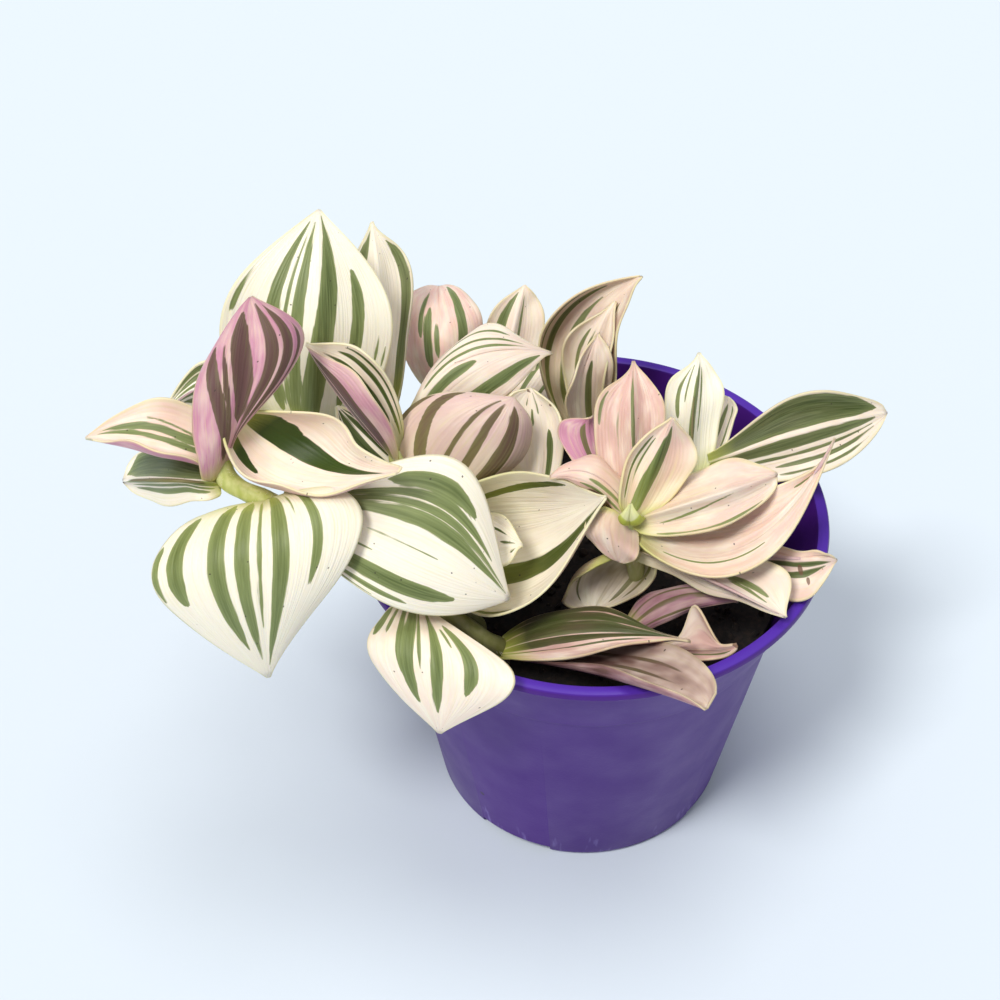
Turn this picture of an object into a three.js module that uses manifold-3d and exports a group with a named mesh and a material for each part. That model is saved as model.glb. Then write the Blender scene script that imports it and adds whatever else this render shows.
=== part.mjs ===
// Potted tradescantia: a tapered nursery pot of thin plastic, filled with potting soil, and the
// leafy shoots that grow out of it and lean over its rim. Millimetres, +Z up, the origin at the
// middle of the pot's underside. The front of the pot is at -Y and the left-hand shoot is at -X.
import * as THREE from "three";
import { mergeVertices } from "three/addons/utils/BufferGeometryUtils.js";
import Module from "manifold-3d";

const wasm = await Module();
wasm.setup();

// Pot
const POT_HEIGHT = 87;
const RIM_RADIUS = 55;
const BASE_RADIUS = 36.6;
const SHOULDER_HEIGHT = 66;
const SHOULDER_RADIUS = 47.3;
const COLLAR_STEP = 0.8;
const WALL = 1.5;
const LIP_WIDTH = 2.6;
const LIP_HEIGHT = 2.4;
const FLOOR_HEIGHT = 2.4;
const FLOOR_THICKNESS = 1.6;
const FOOT_WIDTH = 3;
const PAD_RADIUS = 7;
const FOOT_GAPS = 4;
const FOOT_GAP_WIDTH = 19;
const FOOT_GAP_HEIGHT = 2.2;
const FOOT_GAP_TURN = -0.1;
const DRAIN_HOLES = 6;
const DRAIN_RADIUS = 3;
const DRAIN_CIRCLE = 20;
const POT_SIDES = 48;

// Soil
const SOIL_EDGE = 69;
const SOIL_CROWN = 72;
const SOIL_GAP = 0.35;
const HOLE_DEPTH_Z = 62;
const STEM_FOOT_Z = 63;
const STEM_GAP = 1;

// Stems and leaves
const STEM_RADIUS = 2.1;
const STEM_SIDES = 7;
const STEM_STEPS = 11;
const LEAF_THICKNESS = 0.8;
const COLUMNS = 4;
const ROWS = 8;
const LEAF_PEAK = 0.42;
const LEAF_CUP = 2;
const CLASP_WIDTH = 2.2;
const TIP_WIDTH = 0.4;
const FOOT_POWER = 0.62;
const TIP_POWER = 1.12;
const WAVE = 0.6;
const WAVES = 2;
const SCRAP_VOLUME = 0.5;

const COLOURS = {
  pot: 0x5a4585,
  soil: 0x17110d,
  leaf: 0xc9cfa6,
};

function solidOf(geometry) {
  const bare = new THREE.BufferGeometry();
  bare.setAttribute("position", geometry.getAttribute("position"));
  if (geometry.index) bare.setIndex(geometry.index);
  const merged = mergeVertices(bare, 1e-4);
  return new wasm.Manifold(
    new wasm.Mesh({
      numProp: 3,
      vertProperties: new Float32Array(merged.attributes.position.array),
      triVerts: new Uint32Array(merged.index.array),
    }),
  );
}

function geometryOf(solid) {
  const mesh = solid.getMesh();
  const geometry = new THREE.BufferGeometry();
  geometry.setAttribute("position", new THREE.BufferAttribute(mesh.vertProperties, 3));
  geometry.setIndex(new THREE.BufferAttribute(mesh.triVerts, 1));
  return geometry;
}

function namedMesh(name, solid, color, roughness) {
  const material = new THREE.MeshStandardMaterial({ color, roughness, metalness: 0, flatShading: true });
  const mesh = new THREE.Mesh(geometryOf(solid), material);
  mesh.name = name;
  return mesh;
}

// A solid turned round the pot's axis from an outline of [radius, height] points.
function turned(outline, sides) {
  const points = outline.map(([radius, height]) => new THREE.Vector2(radius, height));
  const geometry = new THREE.LatheGeometry(points, sides);
  geometry.rotateX(Math.PI / 2);
  return solidOf(geometry);
}

function upright(radius, sides, low, high, x, y) {
  const geometry = new THREE.CylinderGeometry(radius, radius, high - low, sides);
  geometry.rotateX(Math.PI / 2);
  geometry.translate(x, y, (low + high) / 2);
  return solidOf(geometry);
}

// The inside of the wall at a height, above the shoulder and below it.
function innerRadius(height) {
  if (height >= SHOULDER_HEIGHT) {
    const rise = (height - SHOULDER_HEIGHT) / (POT_HEIGHT - SHOULDER_HEIGHT);
    return SHOULDER_RADIUS - WALL + rise * (RIM_RADIUS - LIP_WIDTH - SHOULDER_RADIUS + WALL);
  }
  return BASE_RADIUS - WALL + (height / SHOULDER_HEIGHT) * (SHOULDER_RADIUS - BASE_RADIUS);
}

function makePot() {
  const floorTop = FLOOR_HEIGHT + FLOOR_THICKNESS;
  const lipInner = innerRadius(POT_HEIGHT);
  const outline = [
    [0, 0],
    [PAD_RADIUS, 0],
    [PAD_RADIUS + 1, FLOOR_HEIGHT],
    [BASE_RADIUS - FOOT_WIDTH, FLOOR_HEIGHT],
    [BASE_RADIUS - FOOT_WIDTH + 0.6, 0],
    [BASE_RADIUS - 0.6, 0],
    [BASE_RADIUS, 1],
    [SHOULDER_RADIUS - COLLAR_STEP, SHOULDER_HEIGHT - 1],
    [SHOULDER_RADIUS, SHOULDER_HEIGHT],
    [RIM_RADIUS - 0.9, POT_HEIGHT - LIP_HEIGHT],
    [RIM_RADIUS, POT_HEIGHT - LIP_HEIGHT + 0.5],
    [RIM_RADIUS, POT_HEIGHT - 0.7],
    [RIM_RADIUS - 0.7, POT_HEIGHT],
    [lipInner + 0.5, POT_HEIGHT],
    [lipInner, POT_HEIGHT - 0.5],
    [innerRadius(SHOULDER_HEIGHT), SHOULDER_HEIGHT],
    [innerRadius(floorTop), floorTop],
    [0, floorTop],
  ];
  let pot = turned(outline, POT_SIDES);
  for (let i = 0; i < FOOT_GAPS; i += 1) {
    const gap = new THREE.BoxGeometry(FOOT_GAP_WIDTH, 3 * FOOT_WIDTH, 2 * FOOT_GAP_HEIGHT);
    gap.translate(0, -BASE_RADIUS, 0);
    gap.rotateZ(FOOT_GAP_TURN + (i * 2 * Math.PI) / FOOT_GAPS);
    pot = pot.subtract(solidOf(gap));
  }
  for (let i = 0; i < DRAIN_HOLES; i += 1) {
    const turn = ((i + 0.5) * 2 * Math.PI) / DRAIN_HOLES;
    const x = DRAIN_CIRCLE * Math.cos(turn);
    const y = DRAIN_CIRCLE * Math.sin(turn);
    pot = pot.subtract(upright(DRAIN_RADIUS, 16, -1, floorTop + 1, x, y));
  }
  return pot;
}

// The soil fills the pot and rises a little to its middle. Each stem stands in a plain hole.
function makeSoil(stems) {
  const bottom = FLOOR_HEIGHT + FLOOR_THICKNESS + SOIL_GAP;
  const clear = SOIL_GAP / Math.cos(Math.PI / POT_SIDES);
  const outline = [
    [0, bottom],
    [innerRadius(bottom) - clear, bottom],
    [innerRadius(SHOULDER_HEIGHT) - clear, SHOULDER_HEIGHT],
    [innerRadius(SOIL_EDGE) - clear, SOIL_EDGE],
    [30, SOIL_EDGE + 0.8 * (SOIL_CROWN - SOIL_EDGE)],
    [12, SOIL_CROWN],
    [0, SOIL_CROWN],
  ];
  let soil = turned(outline, POT_SIDES);
  for (const path of stems) {
    const [x, y] = path[0];
    soil = soil.subtract(upright(STEM_RADIUS + STEM_GAP, 12, HOLE_DEPTH_Z, SOIL_CROWN + 5, x, y));
  }
  return soil;
}

const vector = (point) => new THREE.Vector3(...point);

// A stem of round section along a smooth curve through its points. The first point is its foot in
// the soil, and the curve leaves it upright.
function makeStem(path) {
  const foot = vector(path[0]).setZ(STEM_FOOT_Z);
  const neck = vector(path[0]).setZ(SOIL_CROWN + 2);
  const curve = new THREE.CatmullRomCurve3([foot, neck, ...path.slice(1).map(vector)]);
  const section = new THREE.Shape();
  for (let i = 0; i < STEM_SIDES; i += 1) {
    const turn = (i * 2 * Math.PI) / STEM_SIDES;
    const x = STEM_RADIUS * Math.cos(turn);
    const y = STEM_RADIUS * Math.sin(turn);
    if (i === 0) section.moveTo(x, y);
    else section.lineTo(x, y);
  }
  const settings = { steps: STEM_STEPS, extrudePath: curve, bevelEnabled: false };
  return solidOf(new THREE.ExtrudeGeometry(section, settings));
}

// Half the leaf's width from its foot, 0, to its tip, 1, as a share of the widest place. A lower
// power makes that end fuller.
function widthShare(along, peak, footPower, tipPower) {
  const bent = along ** (Math.log(0.5) / Math.log(peak));
  return Math.max(Math.sin(Math.PI * bent), 0) ** (footPower + (tipPower - footPower) * along);
}

// The middle surface of a leaf. The midrib is a bow through foot, middle and tip, and the two
// halves reach from it to the left and right corners at the widest place. Left and right are seen
// on the upper face with the tip up. cup sinks the middle of each half below its chord, and roll
// lifts its margin.
function leafRows(leaf) {
  const { peak, cup, wave, roll, footPower, tipPower } = leaf;
  const foot = vector(leaf.foot);
  const chord = vector(leaf.tip).sub(foot);
  const bow = vector(leaf.middle).sub(foot).addScaledVector(chord, -0.5).multiplyScalar(4);
  const midribAt = (v) => foot.clone().addScaledVector(chord, v).addScaledVector(bow, v * (1 - v));
  const reach = [vector(leaf.left).sub(midribAt(peak)), vector(leaf.right).sub(midribAt(peak))];
  const across = vector(leaf.right).sub(vector(leaf.left)).normalize();
  const rows = [];
  for (let i = 0; i <= ROWS; i += 1) {
    const v = i / ROWS;
    const along = chord.clone().addScaledVector(bow, 1 - 2 * v).normalize();
    const least = CLASP_WIDTH * (1 - v) ** 4 + TIP_WIDTH * v;
    const row = [];
    for (let j = 0; j <= COLUMNS; j += 1) {
      const u = (2 * j) / COLUMNS - 1;
      const out = Math.abs(u);
      const half = u < 0 ? 0 : 1;
      const side = reach[half];
      const share = widthShare(v, peak, footPower[half], tipPower[half]);
      const up = side.clone().cross(along).multiplyScalar(u < 0 ? -1 : 1).normalize();
      const ripple = Math.sin(2 * Math.PI * WAVES * v + (u > 0 ? 1.9 : 0)) * Math.sin(Math.PI * v);
      const curve = roll[half] * (Math.max(out - 0.6, 0) / 0.4) ** 2 - cup[half] * 4 * out * (1 - out);
      const lift = wave * out * out * ripple + curve * share;
      const point = midribAt(v).addScaledVector(side, out * share).addScaledVector(across, u * least);
      row.push(point.addScaledVector(up, lift));
    }
    rows.push(row);
  }
  return rows;
}

// A closed blade of even thickness round the middle surface, split alike on both faces.
function makeLeaf(leaf) {
  const rows = leafRows(leaf);
  const positions = [];
  for (const face of [1, -1]) {
    for (let i = 0; i <= ROWS; i += 1) {
      for (let j = 0; j <= COLUMNS; j += 1) {
        const along = rows[Math.min(i + 1, ROWS)][j].clone().sub(rows[Math.max(i - 1, 0)][j]);
        const across = rows[i][Math.min(j + 1, COLUMNS)].clone().sub(rows[i][Math.max(j - 1, 0)]);
        const up = across.cross(along).normalize();
        const point = rows[i][j].clone().addScaledVector(up, (face * LEAF_THICKNESS) / 2);
        positions.push(point.x, point.y, point.z);
      }
    }
  }
  const wide = COLUMNS + 1;
  const under = wide * (ROWS + 1);
  const indices = [];
  const quad = (a, b, c, d) => indices.push(a, b, c, a, c, d);
  for (let i = 0; i < ROWS; i += 1) {
    for (let j = 0; j < COLUMNS; j += 1) {
      const a = i * wide + j;
      quad(a, a + 1, a + wide + 1, a + wide);
      indices.push(under + a, under + a + wide + 1, under + a + 1);
      indices.push(under + a, under + a + wide, under + a + wide + 1);
    }
    const left = i * wide;
    const right = left + COLUMNS;
    quad(left, left + wide, under + left + wide, under + left);
    quad(right, under + right, under + right + wide, right + wide);
  }
  const last = ROWS * wide;
  for (let j = 0; j < COLUMNS; j += 1) {
    quad(j, under + j, under + j + 1, j + 1);
    quad(last + j, last + j + 1, under + last + j + 1, under + last + j);
  }
  const geometry = new THREE.BufferGeometry();
  geometry.setAttribute("position", new THREE.BufferAttribute(new Float32Array(positions), 3));
  geometry.setIndex(indices);
  return solidOf(geometry);
}

// A shape value is one number, or one for the left half and one for the right.
const pairOf = (value) => (Array.isArray(value) ? value : [value, value]);

function leaf(name, more, foot, middle, tip, left, right) {
  return {
    name,
    foot,
    middle,
    tip,
    left,
    right,
    cup: pairOf(more.cup ?? LEAF_CUP),
    roll: pairOf(more.roll ?? 0),
    footPower: pairOf(more.footPower ?? FOOT_POWER),
    tipPower: pairOf(more.tipPower ?? TIP_POWER),
    peak: more.peak ?? LEAF_PEAK,
    wave: more.wave ?? WAVE,
  };
}

// Each shoot is a stem with its leaves, grown together. A stem is its foot in the soil and the
// points that it bends through. A leaf is its foot on the stem, the middle of its midrib, its tip,
// and the left and right corners of its widest place.
const SHOOTS = {
  shoot_left: {
    stem: [[-27, -23], [-41, -24, 85], [-55, -22, 100], [-70, -22, 111], [-80, -18, 116], [-78, -12, 127]],
    leaves: [
      leaf("front", { cup: -1.5, footPower: [0.62, 0.45], tipPower: [1.25, 1] },
        [-71, -23, 113], [-70, -40, 110], [-71, -46, 82], [-50, -32, 116], [-94, -36, 104]),
      leaf("right", { cup: -1.5, peak: 0.56, footPower: [1.3, 0.62], tipPower: [1.2, 0.9] },
        [-68, -21, 111], [-42, -32, 111], [-19, -35, 95], [-31, -15, 117], [-44, -40, 99]),
      leaf("new", { cup: 3, peak: 0.36, wave: 1.2, footPower: [2, 0.4], tipPower: [0.9, 1.1] },
        [-77, -11, 127], [-64, -16, 116], [-42, -31, 129], [-56, -14, 127], [-71, -25, 121]),
      leaf("top", { cup: 3, peak: 0.62, wave: 1, footPower: [3, 0.45], tipPower: [1.15, 0.75] },
        [-81, -19, 116], [-75, -10, 134], [-74, 7, 144], [-63, 3, 135], [-85, -13, 132]),
      leaf("left", { cup: [1.3, 2], footPower: [0.6, 0.35], tipPower: [1.6, 1] },
        [-81, -16, 117], [-95, -17, 123], [-110, -11, 120], [-93, -21, 127], [-91, -8, 128]),
      leaf("low", { peak: 0.6, footPower: 0.5, tipPower: 0.45 },
        [-81, -19, 114], [-92, -22, 118], [-106, -4, 100], [-92, -20, 109], [-95, -7, 114]),
    ],
  },
  shoot_tall: {
    stem: [[-26, 12], [-42, 15, 85], [-54, 16, 93], [-65, 13, 99], [-75, 8, 106]],
    leaves: [
      leaf("tall", { footPower: [0.62, 0.4] },
        [-65, 12, 98], [-62, 18, 126], [-62, 41, 142], [-84, 20, 124], [-46, 23, 121]),
      leaf("behind", {},
        [-51, 17, 92], [-49, 32, 116], [-51, 50, 132], [-58, 33, 116], [-43, 40, 120]),
      leaf("side", {},
        [-75, 8, 106], [-84, 8, 118], [-97, 6, 111], [-86, 8, 107], [-85, 12, 121]),
      leaf("rear", { cup: -1.5 },
        [-66, 14, 99], [-73, 32, 107], [-79, 47, 98], [-84, 26, 101], [-63, 36, 101]),
      leaf("under", { cup: -1 },
        [-54, 17, 93], [-56, 35, 97], [-57, 50, 84], [-65, 33, 92], [-47, 35, 91]),
    ],
  },
  shoot_middle: {
    stem: [[-20, -4], [-30, -8, 83], [-37, -10, 92], [-41, -5, 100], [-44, 1, 104], [-42, 9, 105]],
    leaves: [
      leaf("fold", {},
        [-44, -2, 104], [-55, 3, 117], [-64, 13, 126], [-49, 0, 124], [-48, 6, 126]),
      leaf("big", { cup: 3 },
        [-38, -8, 96], [-27, -3, 112], [-18, 3, 119], [-16, 1, 104], [-42, 7, 111]),
      leaf("over", { cup: -1 },
        [-42, 10, 104], [-30, 15, 119], [-9, 25, 113], [-28, 26, 118], [-21, 12, 111]),
      leaf("bowl", { cup: [2, 5] },
        [-37, -11, 92], [-18, -12, 91], [2, -18, 109], [-17, -8, 106], [-21, -36, 91]),
      leaf("tip", { cup: 1 },
        [-37, -10, 94], [-28, -16, 100], [-16, -23, 99], [-23, -15, 101], [-23, -26, 96]),
      leaf("shade", {},
        [-42, -2, 100], [-50, 3, 105], [-58, 9, 111], [-54, -2, 104], [-45, 7, 106]),
    ],
  },
  shoot_back: {
    stem: [[-12, 26], [-20, 33, 84], [-34, 33, 92]],
    leaves: [
      leaf("pink", { cup: -1, tipPower: 0.7 },
        [-34, 33, 92], [-35, 35, 110], [-36, 56, 108], [-45, 43, 107], [-26, 42, 108]),
      leaf("white", { peak: 0.34 },
        [-21, 34, 85], [-18, 44, 102], [-15, 54, 110], [-25, 45, 100], [-11, 47, 100]),
      leaf("rear", { cup: -1.5 },
        [-30, 34, 91], [-31, 52, 95], [-32, 66, 84], [-41, 50, 90], [-21, 52, 90]),
      leaf("side", { cup: -1 },
        [-20, 33, 84], [-10, 46, 94], [0, 58, 88], [-16, 52, 90], [-3, 44, 91]),
    ],
  },
  shoot_curl: {
    stem: [[7, 16], [3, 20, 80], [0, 21, 90]],
    leaves: [
      leaf("curl", { cup: [5, 2], tipPower: [0.9, 0.8] },
        [1, 21, 87], [-2, 34, 106], [12, 41, 123], [-11, 32, 111], [6, 29, 112]),
      leaf("third", { cup: 3, peak: 0.55, footPower: [0.9, 0.62], tipPower: [1.8, 1.12] },
        [1, 20, 88], [-1, 26, 106], [6, 38, 118], [-6, 30, 110], [4, 26, 110]),
      leaf("inner", { cup: 1 },
        [0, 20, 90], [-2, 22, 105], [2, 31, 114], [-5, 17, 106], [5, 25, 108]),
    ],
  },
  shoot_core: {
    stem: [[-8, 3], [-11, 0, 82], [-13, -2, 92]],
    leaves: [
      leaf("core", {},
        [-13, -2, 91], [-12, 5, 104], [-14, 13, 113], [-20, 8, 109], [-7, 5, 106]),
    ],
  },
  shoot_rosette: {
    stem: [[10, -10], [10, -18, 84], [8, -20, 97], [8, -18, 107]],
    leaves: [
      leaf("up", { tipPower: [1.6, 1.3] },
        [8, -17, 102], [8, -5, 116], [9, 14, 120], [0, 0, 115], [15, 1, 115]),
      leaf("small", {},
        [8, -21, 106], [12, -15, 114], [16, -9, 124], [7, -14, 117], [21, -12, 113]),
      leaf("violet", { cup: 1 },
        [7, -18, 102], [0, -2, 106], [-1, 4, 112], [2, 4, 107], [-7, 1, 108]),
      leaf("left", { cup: -1, footPower: [0.62, 0.35] },
        [7, -18, 105], [-1, -13, 111], [-10, -11, 108], [0, -14, 107], [1, -8, 110]),
      leaf("drop", { cup: -1, tipPower: 0.75 },
        [7, -18, 104], [4, -22, 102], [4, -22, 94], [8, -21, 99], [0, -19, 100]),
      leaf("shelf", { peak: 0.48, tipPower: [0.95, 0.5] },
        [8, -20, 104], [24, -20, 111], [40, -10, 108], [26, -9, 110], [26, -24, 106]),
      leaf("long", {},
        [9, -20, 101], [32, -23, 101], [53, -3, 112], [37, -13, 106], [31, -30, 98]),
      leaf("low", {},
        [8, -21, 96], [23, -29, 95], [41, -36, 90], [38, -24, 95], [23, -27, 90]),
      leaf("bowl", { cup: 3, footPower: [0.62, 0.3], tipPower: 0.8 },
        [8, -21, 94], [3, -20, 85], [0, -25, 80], [12, -23, 86], [-6, -25, 86]),
      leaf("bud", { cup: 0.6, wave: 0 },
        [8, -20, 105], [7, -22, 109], [8, -24, 111], [6, -22, 109], [9, -22, 109]),
    ],
  },
  shoot_right: {
    stem: [[22, 4], [23, 2, 84], [24, 3, 97]],
    leaves: [
      leaf("green", { peak: 0.48, footPower: [2.2, 0.62], tipPower: [0.62, 0.9] },
        [25, 5, 96], [48, 8, 104], [70, 20, 99], [48, 15, 109], [52, 1, 98]),
      leaf("white", { tipPower: [1.4, 1.12] },
        [23, 1, 96], [23, 9, 108], [25, 24, 114], [17, 14, 108], [30, 16, 107]),
      leaf("back", { cup: 1 },
        [24, 4, 93], [29, 15, 98], [33, 22, 102], [26, 22, 100], [33, 15, 100]),
    ],
  },
  shoot_rim: {
    stem: [[28, -6], [31, -10, 80], [34, -14, 88]],
    leaves: [
      leaf("rim", {},
        [34, -14, 87], [44, -22, 94], [54, -20, 91], [46, -20, 94], [44, -29, 88]),
    ],
  },
  shoot_low: {
    stem: [[10, -27], [8, -29, 77]],
    leaves: [
      leaf("arch", { cup: 1, footPower: 1 },
        [8, -28, 76], [19, -27, 86], [32, -26, 84], [17, -29, 82], [15, -22, 83]),
      leaf("small", { cup: 1, peak: 0.58, footPower: [6, 0.62], tipPower: [8, 0.7] },
        [9, -30, 75], [21, -38, 82], [30, -42, 88], [22, -31, 88], [24, -41, 82]),
    ],
  },
  shoot_front: {
    stem: [[-21, -32], [-24, -34, 80], [-31, -32, 85], [-38, -31, 88]],
    leaves: [
      leaf("over", { cup: -1, peak: 0.55, footPower: [1.6, 0.45], tipPower: 1.15 },
        [-38, -31, 88], [-35, -48, 90], [-34, -55, 74], [-18, -54, 91], [-49, -42, 86]),
      leaf("dark", { cup: -1, roll: [0, 4], tipPower: [2.2, 1.12] },
        [-21, -34, 76], [-2, -39, 88], [20, -41, 88], [-4, -28, 84], [1, -44, 87]),
      leaf("tongue", { cup: 1, peak: 0.6, tipPower: [0.5, 0.8] },
        [-21, -34, 75], [2, -49, 86], [21, -65, 95], [15, -44, 90], [6, -53, 92]),
    ],
  },
};

// The largest body of the join, which fills a hollow that fusing seals between two leaf feet. A
// leaf that misses the stem would be lost here, so that stops the part instead.
function makeShoot({ stem, leaves }) {
  let shoot = makeStem(stem);
  for (const one of leaves) shoot = shoot.add(makeLeaf(one));
  const bodies = shoot.decompose().sort((a, b) => b.volume() - a.volume());
  if (bodies.slice(1).some((body) => body.volume() > SCRAP_VOLUME)) {
    throw new Error("a leaf does not reach its stem");
  }
  return bodies[0];
}

const plant = new THREE.Group();
plant.add(namedMesh("pot", makePot(), COLOURS.pot, 0.4));
const stems = Object.values(SHOOTS).map((shoot) => shoot.stem);
plant.add(namedMesh("soil", makeSoil(stems), COLOURS.soil, 1));
for (const [name, shoot] of Object.entries(SHOOTS)) {
  plant.add(namedMesh(name, makeShoot(shoot), COLOURS.leaf, 0.5));
}

export default plant;
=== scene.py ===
import math

import bmesh
import bpy
import numpy as np
from mathutils import Matrix, Vector


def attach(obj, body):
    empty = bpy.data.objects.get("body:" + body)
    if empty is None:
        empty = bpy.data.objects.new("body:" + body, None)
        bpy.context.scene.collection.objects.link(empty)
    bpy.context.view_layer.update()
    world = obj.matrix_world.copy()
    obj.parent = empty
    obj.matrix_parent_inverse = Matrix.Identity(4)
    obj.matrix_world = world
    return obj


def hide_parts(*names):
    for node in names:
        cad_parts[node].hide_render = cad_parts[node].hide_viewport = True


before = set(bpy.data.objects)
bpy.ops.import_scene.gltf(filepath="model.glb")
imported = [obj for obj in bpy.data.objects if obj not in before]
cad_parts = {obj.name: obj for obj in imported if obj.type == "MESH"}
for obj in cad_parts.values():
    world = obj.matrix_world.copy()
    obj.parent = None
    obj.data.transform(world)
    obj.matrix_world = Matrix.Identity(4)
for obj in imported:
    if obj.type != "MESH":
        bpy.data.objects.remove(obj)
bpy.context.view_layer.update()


# Camera: a 65 mm lens half a metre away that looks down on the plant at 45 degrees, held
# level from side to side.
CAMERA_PLACE = (-0.021, -0.294, 0.386)
CAMERA_TILT = math.radians(44.8)
CAMERA_LENS = 65
CAMERA_SENSOR = 36

scene = bpy.context.scene
camera = bpy.data.objects.new("camera", bpy.data.cameras.new("camera"))
camera.location = CAMERA_PLACE
camera.rotation_euler = (CAMERA_TILT, 0, 0)
camera.data.lens = CAMERA_LENS
camera.data.sensor_width = CAMERA_SENSOR
scene.collection.objects.link(camera)
scene.camera = camera


# Studio: a pale matt floor under two wide soft lamps, one high at the left in front and one
# nearly overhead, with a pale sky all round that fills the shadows.
FLOOR_HALF = 8
FLOOR_DROP = 0.0002
FLOOR_COLOUR = "#D2DDE7"
FLOOR_GRIT = 400.0
SKY_COLOUR = "#F4F7FF"
SKY_STRENGTH = 0.42
LAMPS = {
    "front": {"from": (-0.42, -0.44, 1), "spread": 17, "strength": 2.2, "colour": "#FFFCF6"},
    "top": {"from": (0.06, 0.08, 1), "spread": 30, "strength": 1.1, "colour": "#FFFCF6"},
}


def linear(colour):
    """The linear red, green, blue and alpha of an sRGB hex colour."""
    parts = [int(colour[i:i + 2], 16) / 255 for i in (1, 3, 5)]
    return [p / 12.92 if p <= 0.04045 else ((p + 0.055) / 1.055) ** 2.4 for p in parts] + [1.0]


def add(tree, kind, *feeds, out=0, named=None, **settings):
    """Adds a node: its settings first, then a link or a value for each open input in order,
    then for the inputs called by name. Returns the output that is asked for."""
    node = tree.nodes.new(kind)
    for setting, value in settings.items():
        setattr(node, setting, value)
    open_inputs = [socket for socket in node.inputs if socket.enabled]
    pairs = list(zip(open_inputs, feeds))
    pairs += [(node.inputs[name], feed) for name, feed in (named or {}).items()]
    for socket, feed in pairs:
        if isinstance(feed, bpy.types.NodeSocket):
            tree.links.new(feed, socket)
        elif feed is not None:
            socket.default_value = feed
    if isinstance(out, str):
        return node.outputs[out]
    open_outputs = [socket for socket in node.outputs if socket.enabled]
    return open_outputs[out] if open_outputs else node


def new_material(name):
    """An empty material and its node tree."""
    material = bpy.data.materials.new(name)
    material.use_nodes = True
    material.node_tree.nodes.clear()
    return material, material.node_tree


sky = bpy.data.worlds.new("sky")
sky.use_nodes = True
sky.node_tree.nodes["Background"].inputs["Color"].default_value = linear(SKY_COLOUR)
sky.node_tree.nodes["Background"].inputs["Strength"].default_value = SKY_STRENGTH
scene.world = sky
scene.view_settings.view_transform = "Standard"

for name, lamp in LAMPS.items():
    light = bpy.data.lights.new(name, "SUN")
    light.angle = math.radians(lamp["spread"])
    light.energy = lamp["strength"]
    light.color = linear(lamp["colour"])[:3]
    holder = bpy.data.objects.new(name, light)
    holder.location = lamp["from"]
    holder.rotation_euler = (-Vector(lamp["from"])).to_track_quat("-Z", "Y").to_euler()
    scene.collection.objects.link(holder)

# Matt painted board, with a faint grit 2.5 mm wide.
floor_paint, tree = new_material("matt white board")
grit = add(tree, "ShaderNodeTexNoise", add(tree, "ShaderNodeTexCoord", out="Object"),
           named={"Scale": FLOOR_GRIT, "Detail": 3.0})
relief = add(tree, "ShaderNodeBump", named={"Height": grit, "Strength": 0.05, "Distance": 0.0005})
surface = add(tree, "ShaderNodeBsdfPrincipled",
              named={"Base Color": linear(FLOOR_COLOUR), "Roughness": 0.8, "Normal": relief})
add(tree, "ShaderNodeOutputMaterial", surface)

floor_mesh = bpy.data.meshes.new("floor")
corners = [(-FLOOR_HALF, -FLOOR_HALF), (FLOOR_HALF, -FLOOR_HALF), (FLOOR_HALF, FLOOR_HALF),
           (-FLOOR_HALF, FLOOR_HALF)]
floor_mesh.from_pydata([(x, y, -FLOOR_DROP) for x, y in corners], [], [(0, 1, 2, 3)])
floor_mesh.materials.append(floor_paint)
floor = bpy.data.objects.new("floor", floor_mesh)
scene.collection.objects.link(floor)


# Pot: a thin nursery pot moulded in violet polypropylene, turned about its axis. It has a
# lip, a wide collar above the shoulder, drain holes, and a foot ring with four cut-outs.
MM = 0.001
POT_OUTSIDE = [(33.6, 2.4), (34.2, 0.3), (34.5, 0), (35.7, 0), (36.3, 0.4), (36.6, 1), (46.5, 65),
               (46.8, 65.6), (47.4, 66.2), (47.6, 67), (54.1, 84.4), (54.4, 84.7), (54.9, 84.8),
               (55.2, 85.2), (55.2, 86.3), (54.9, 86.8), (54.3, 87), (53.1, 87), (52.6, 86.8),
               (52.4, 86.3)]
POT_INSIDE = [(45.9, 66), (45.6, 65), (36.4, 5.6), (35.6, 4.4), (34.4, 4), (0, 4)]
POT_PAD = [(0, 0), (6.6, 0), (7.1, 0.3), (8, 2.4)]
POT_SIDES = 192
FOOT_CUTS = 4
FOOT_CUT_SIZE = (8, 19, 4.4)
FOOT_CUT_TURN = -0.1 + 1.5 * math.pi / FOOT_CUTS
FOOT_RADIUS = 35.3
DRAINS = 6
DRAIN_RADIUS = 3
DRAIN_CIRCLE = 20
DRAIN_HEIGHT = 3
DRAIN_DEPTH = 12
DRAIN_SIDES = 32
POT_SHARP_ANGLE = 35
POT_VIOLET = "#4E1F86"
POT_SHADE = "#44187A"
POT_LIP_HIGHLIGHT = "#4F2BA2"
POT_SCUFF = "#8E7CC4"
POT_DIRT = "#2A2230"
POT_LIP_HIGHLIGHT_HEIGHTS = (86.4, 86.9)
POT_SCUFF_HEIGHTS = (30, 4)


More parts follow.
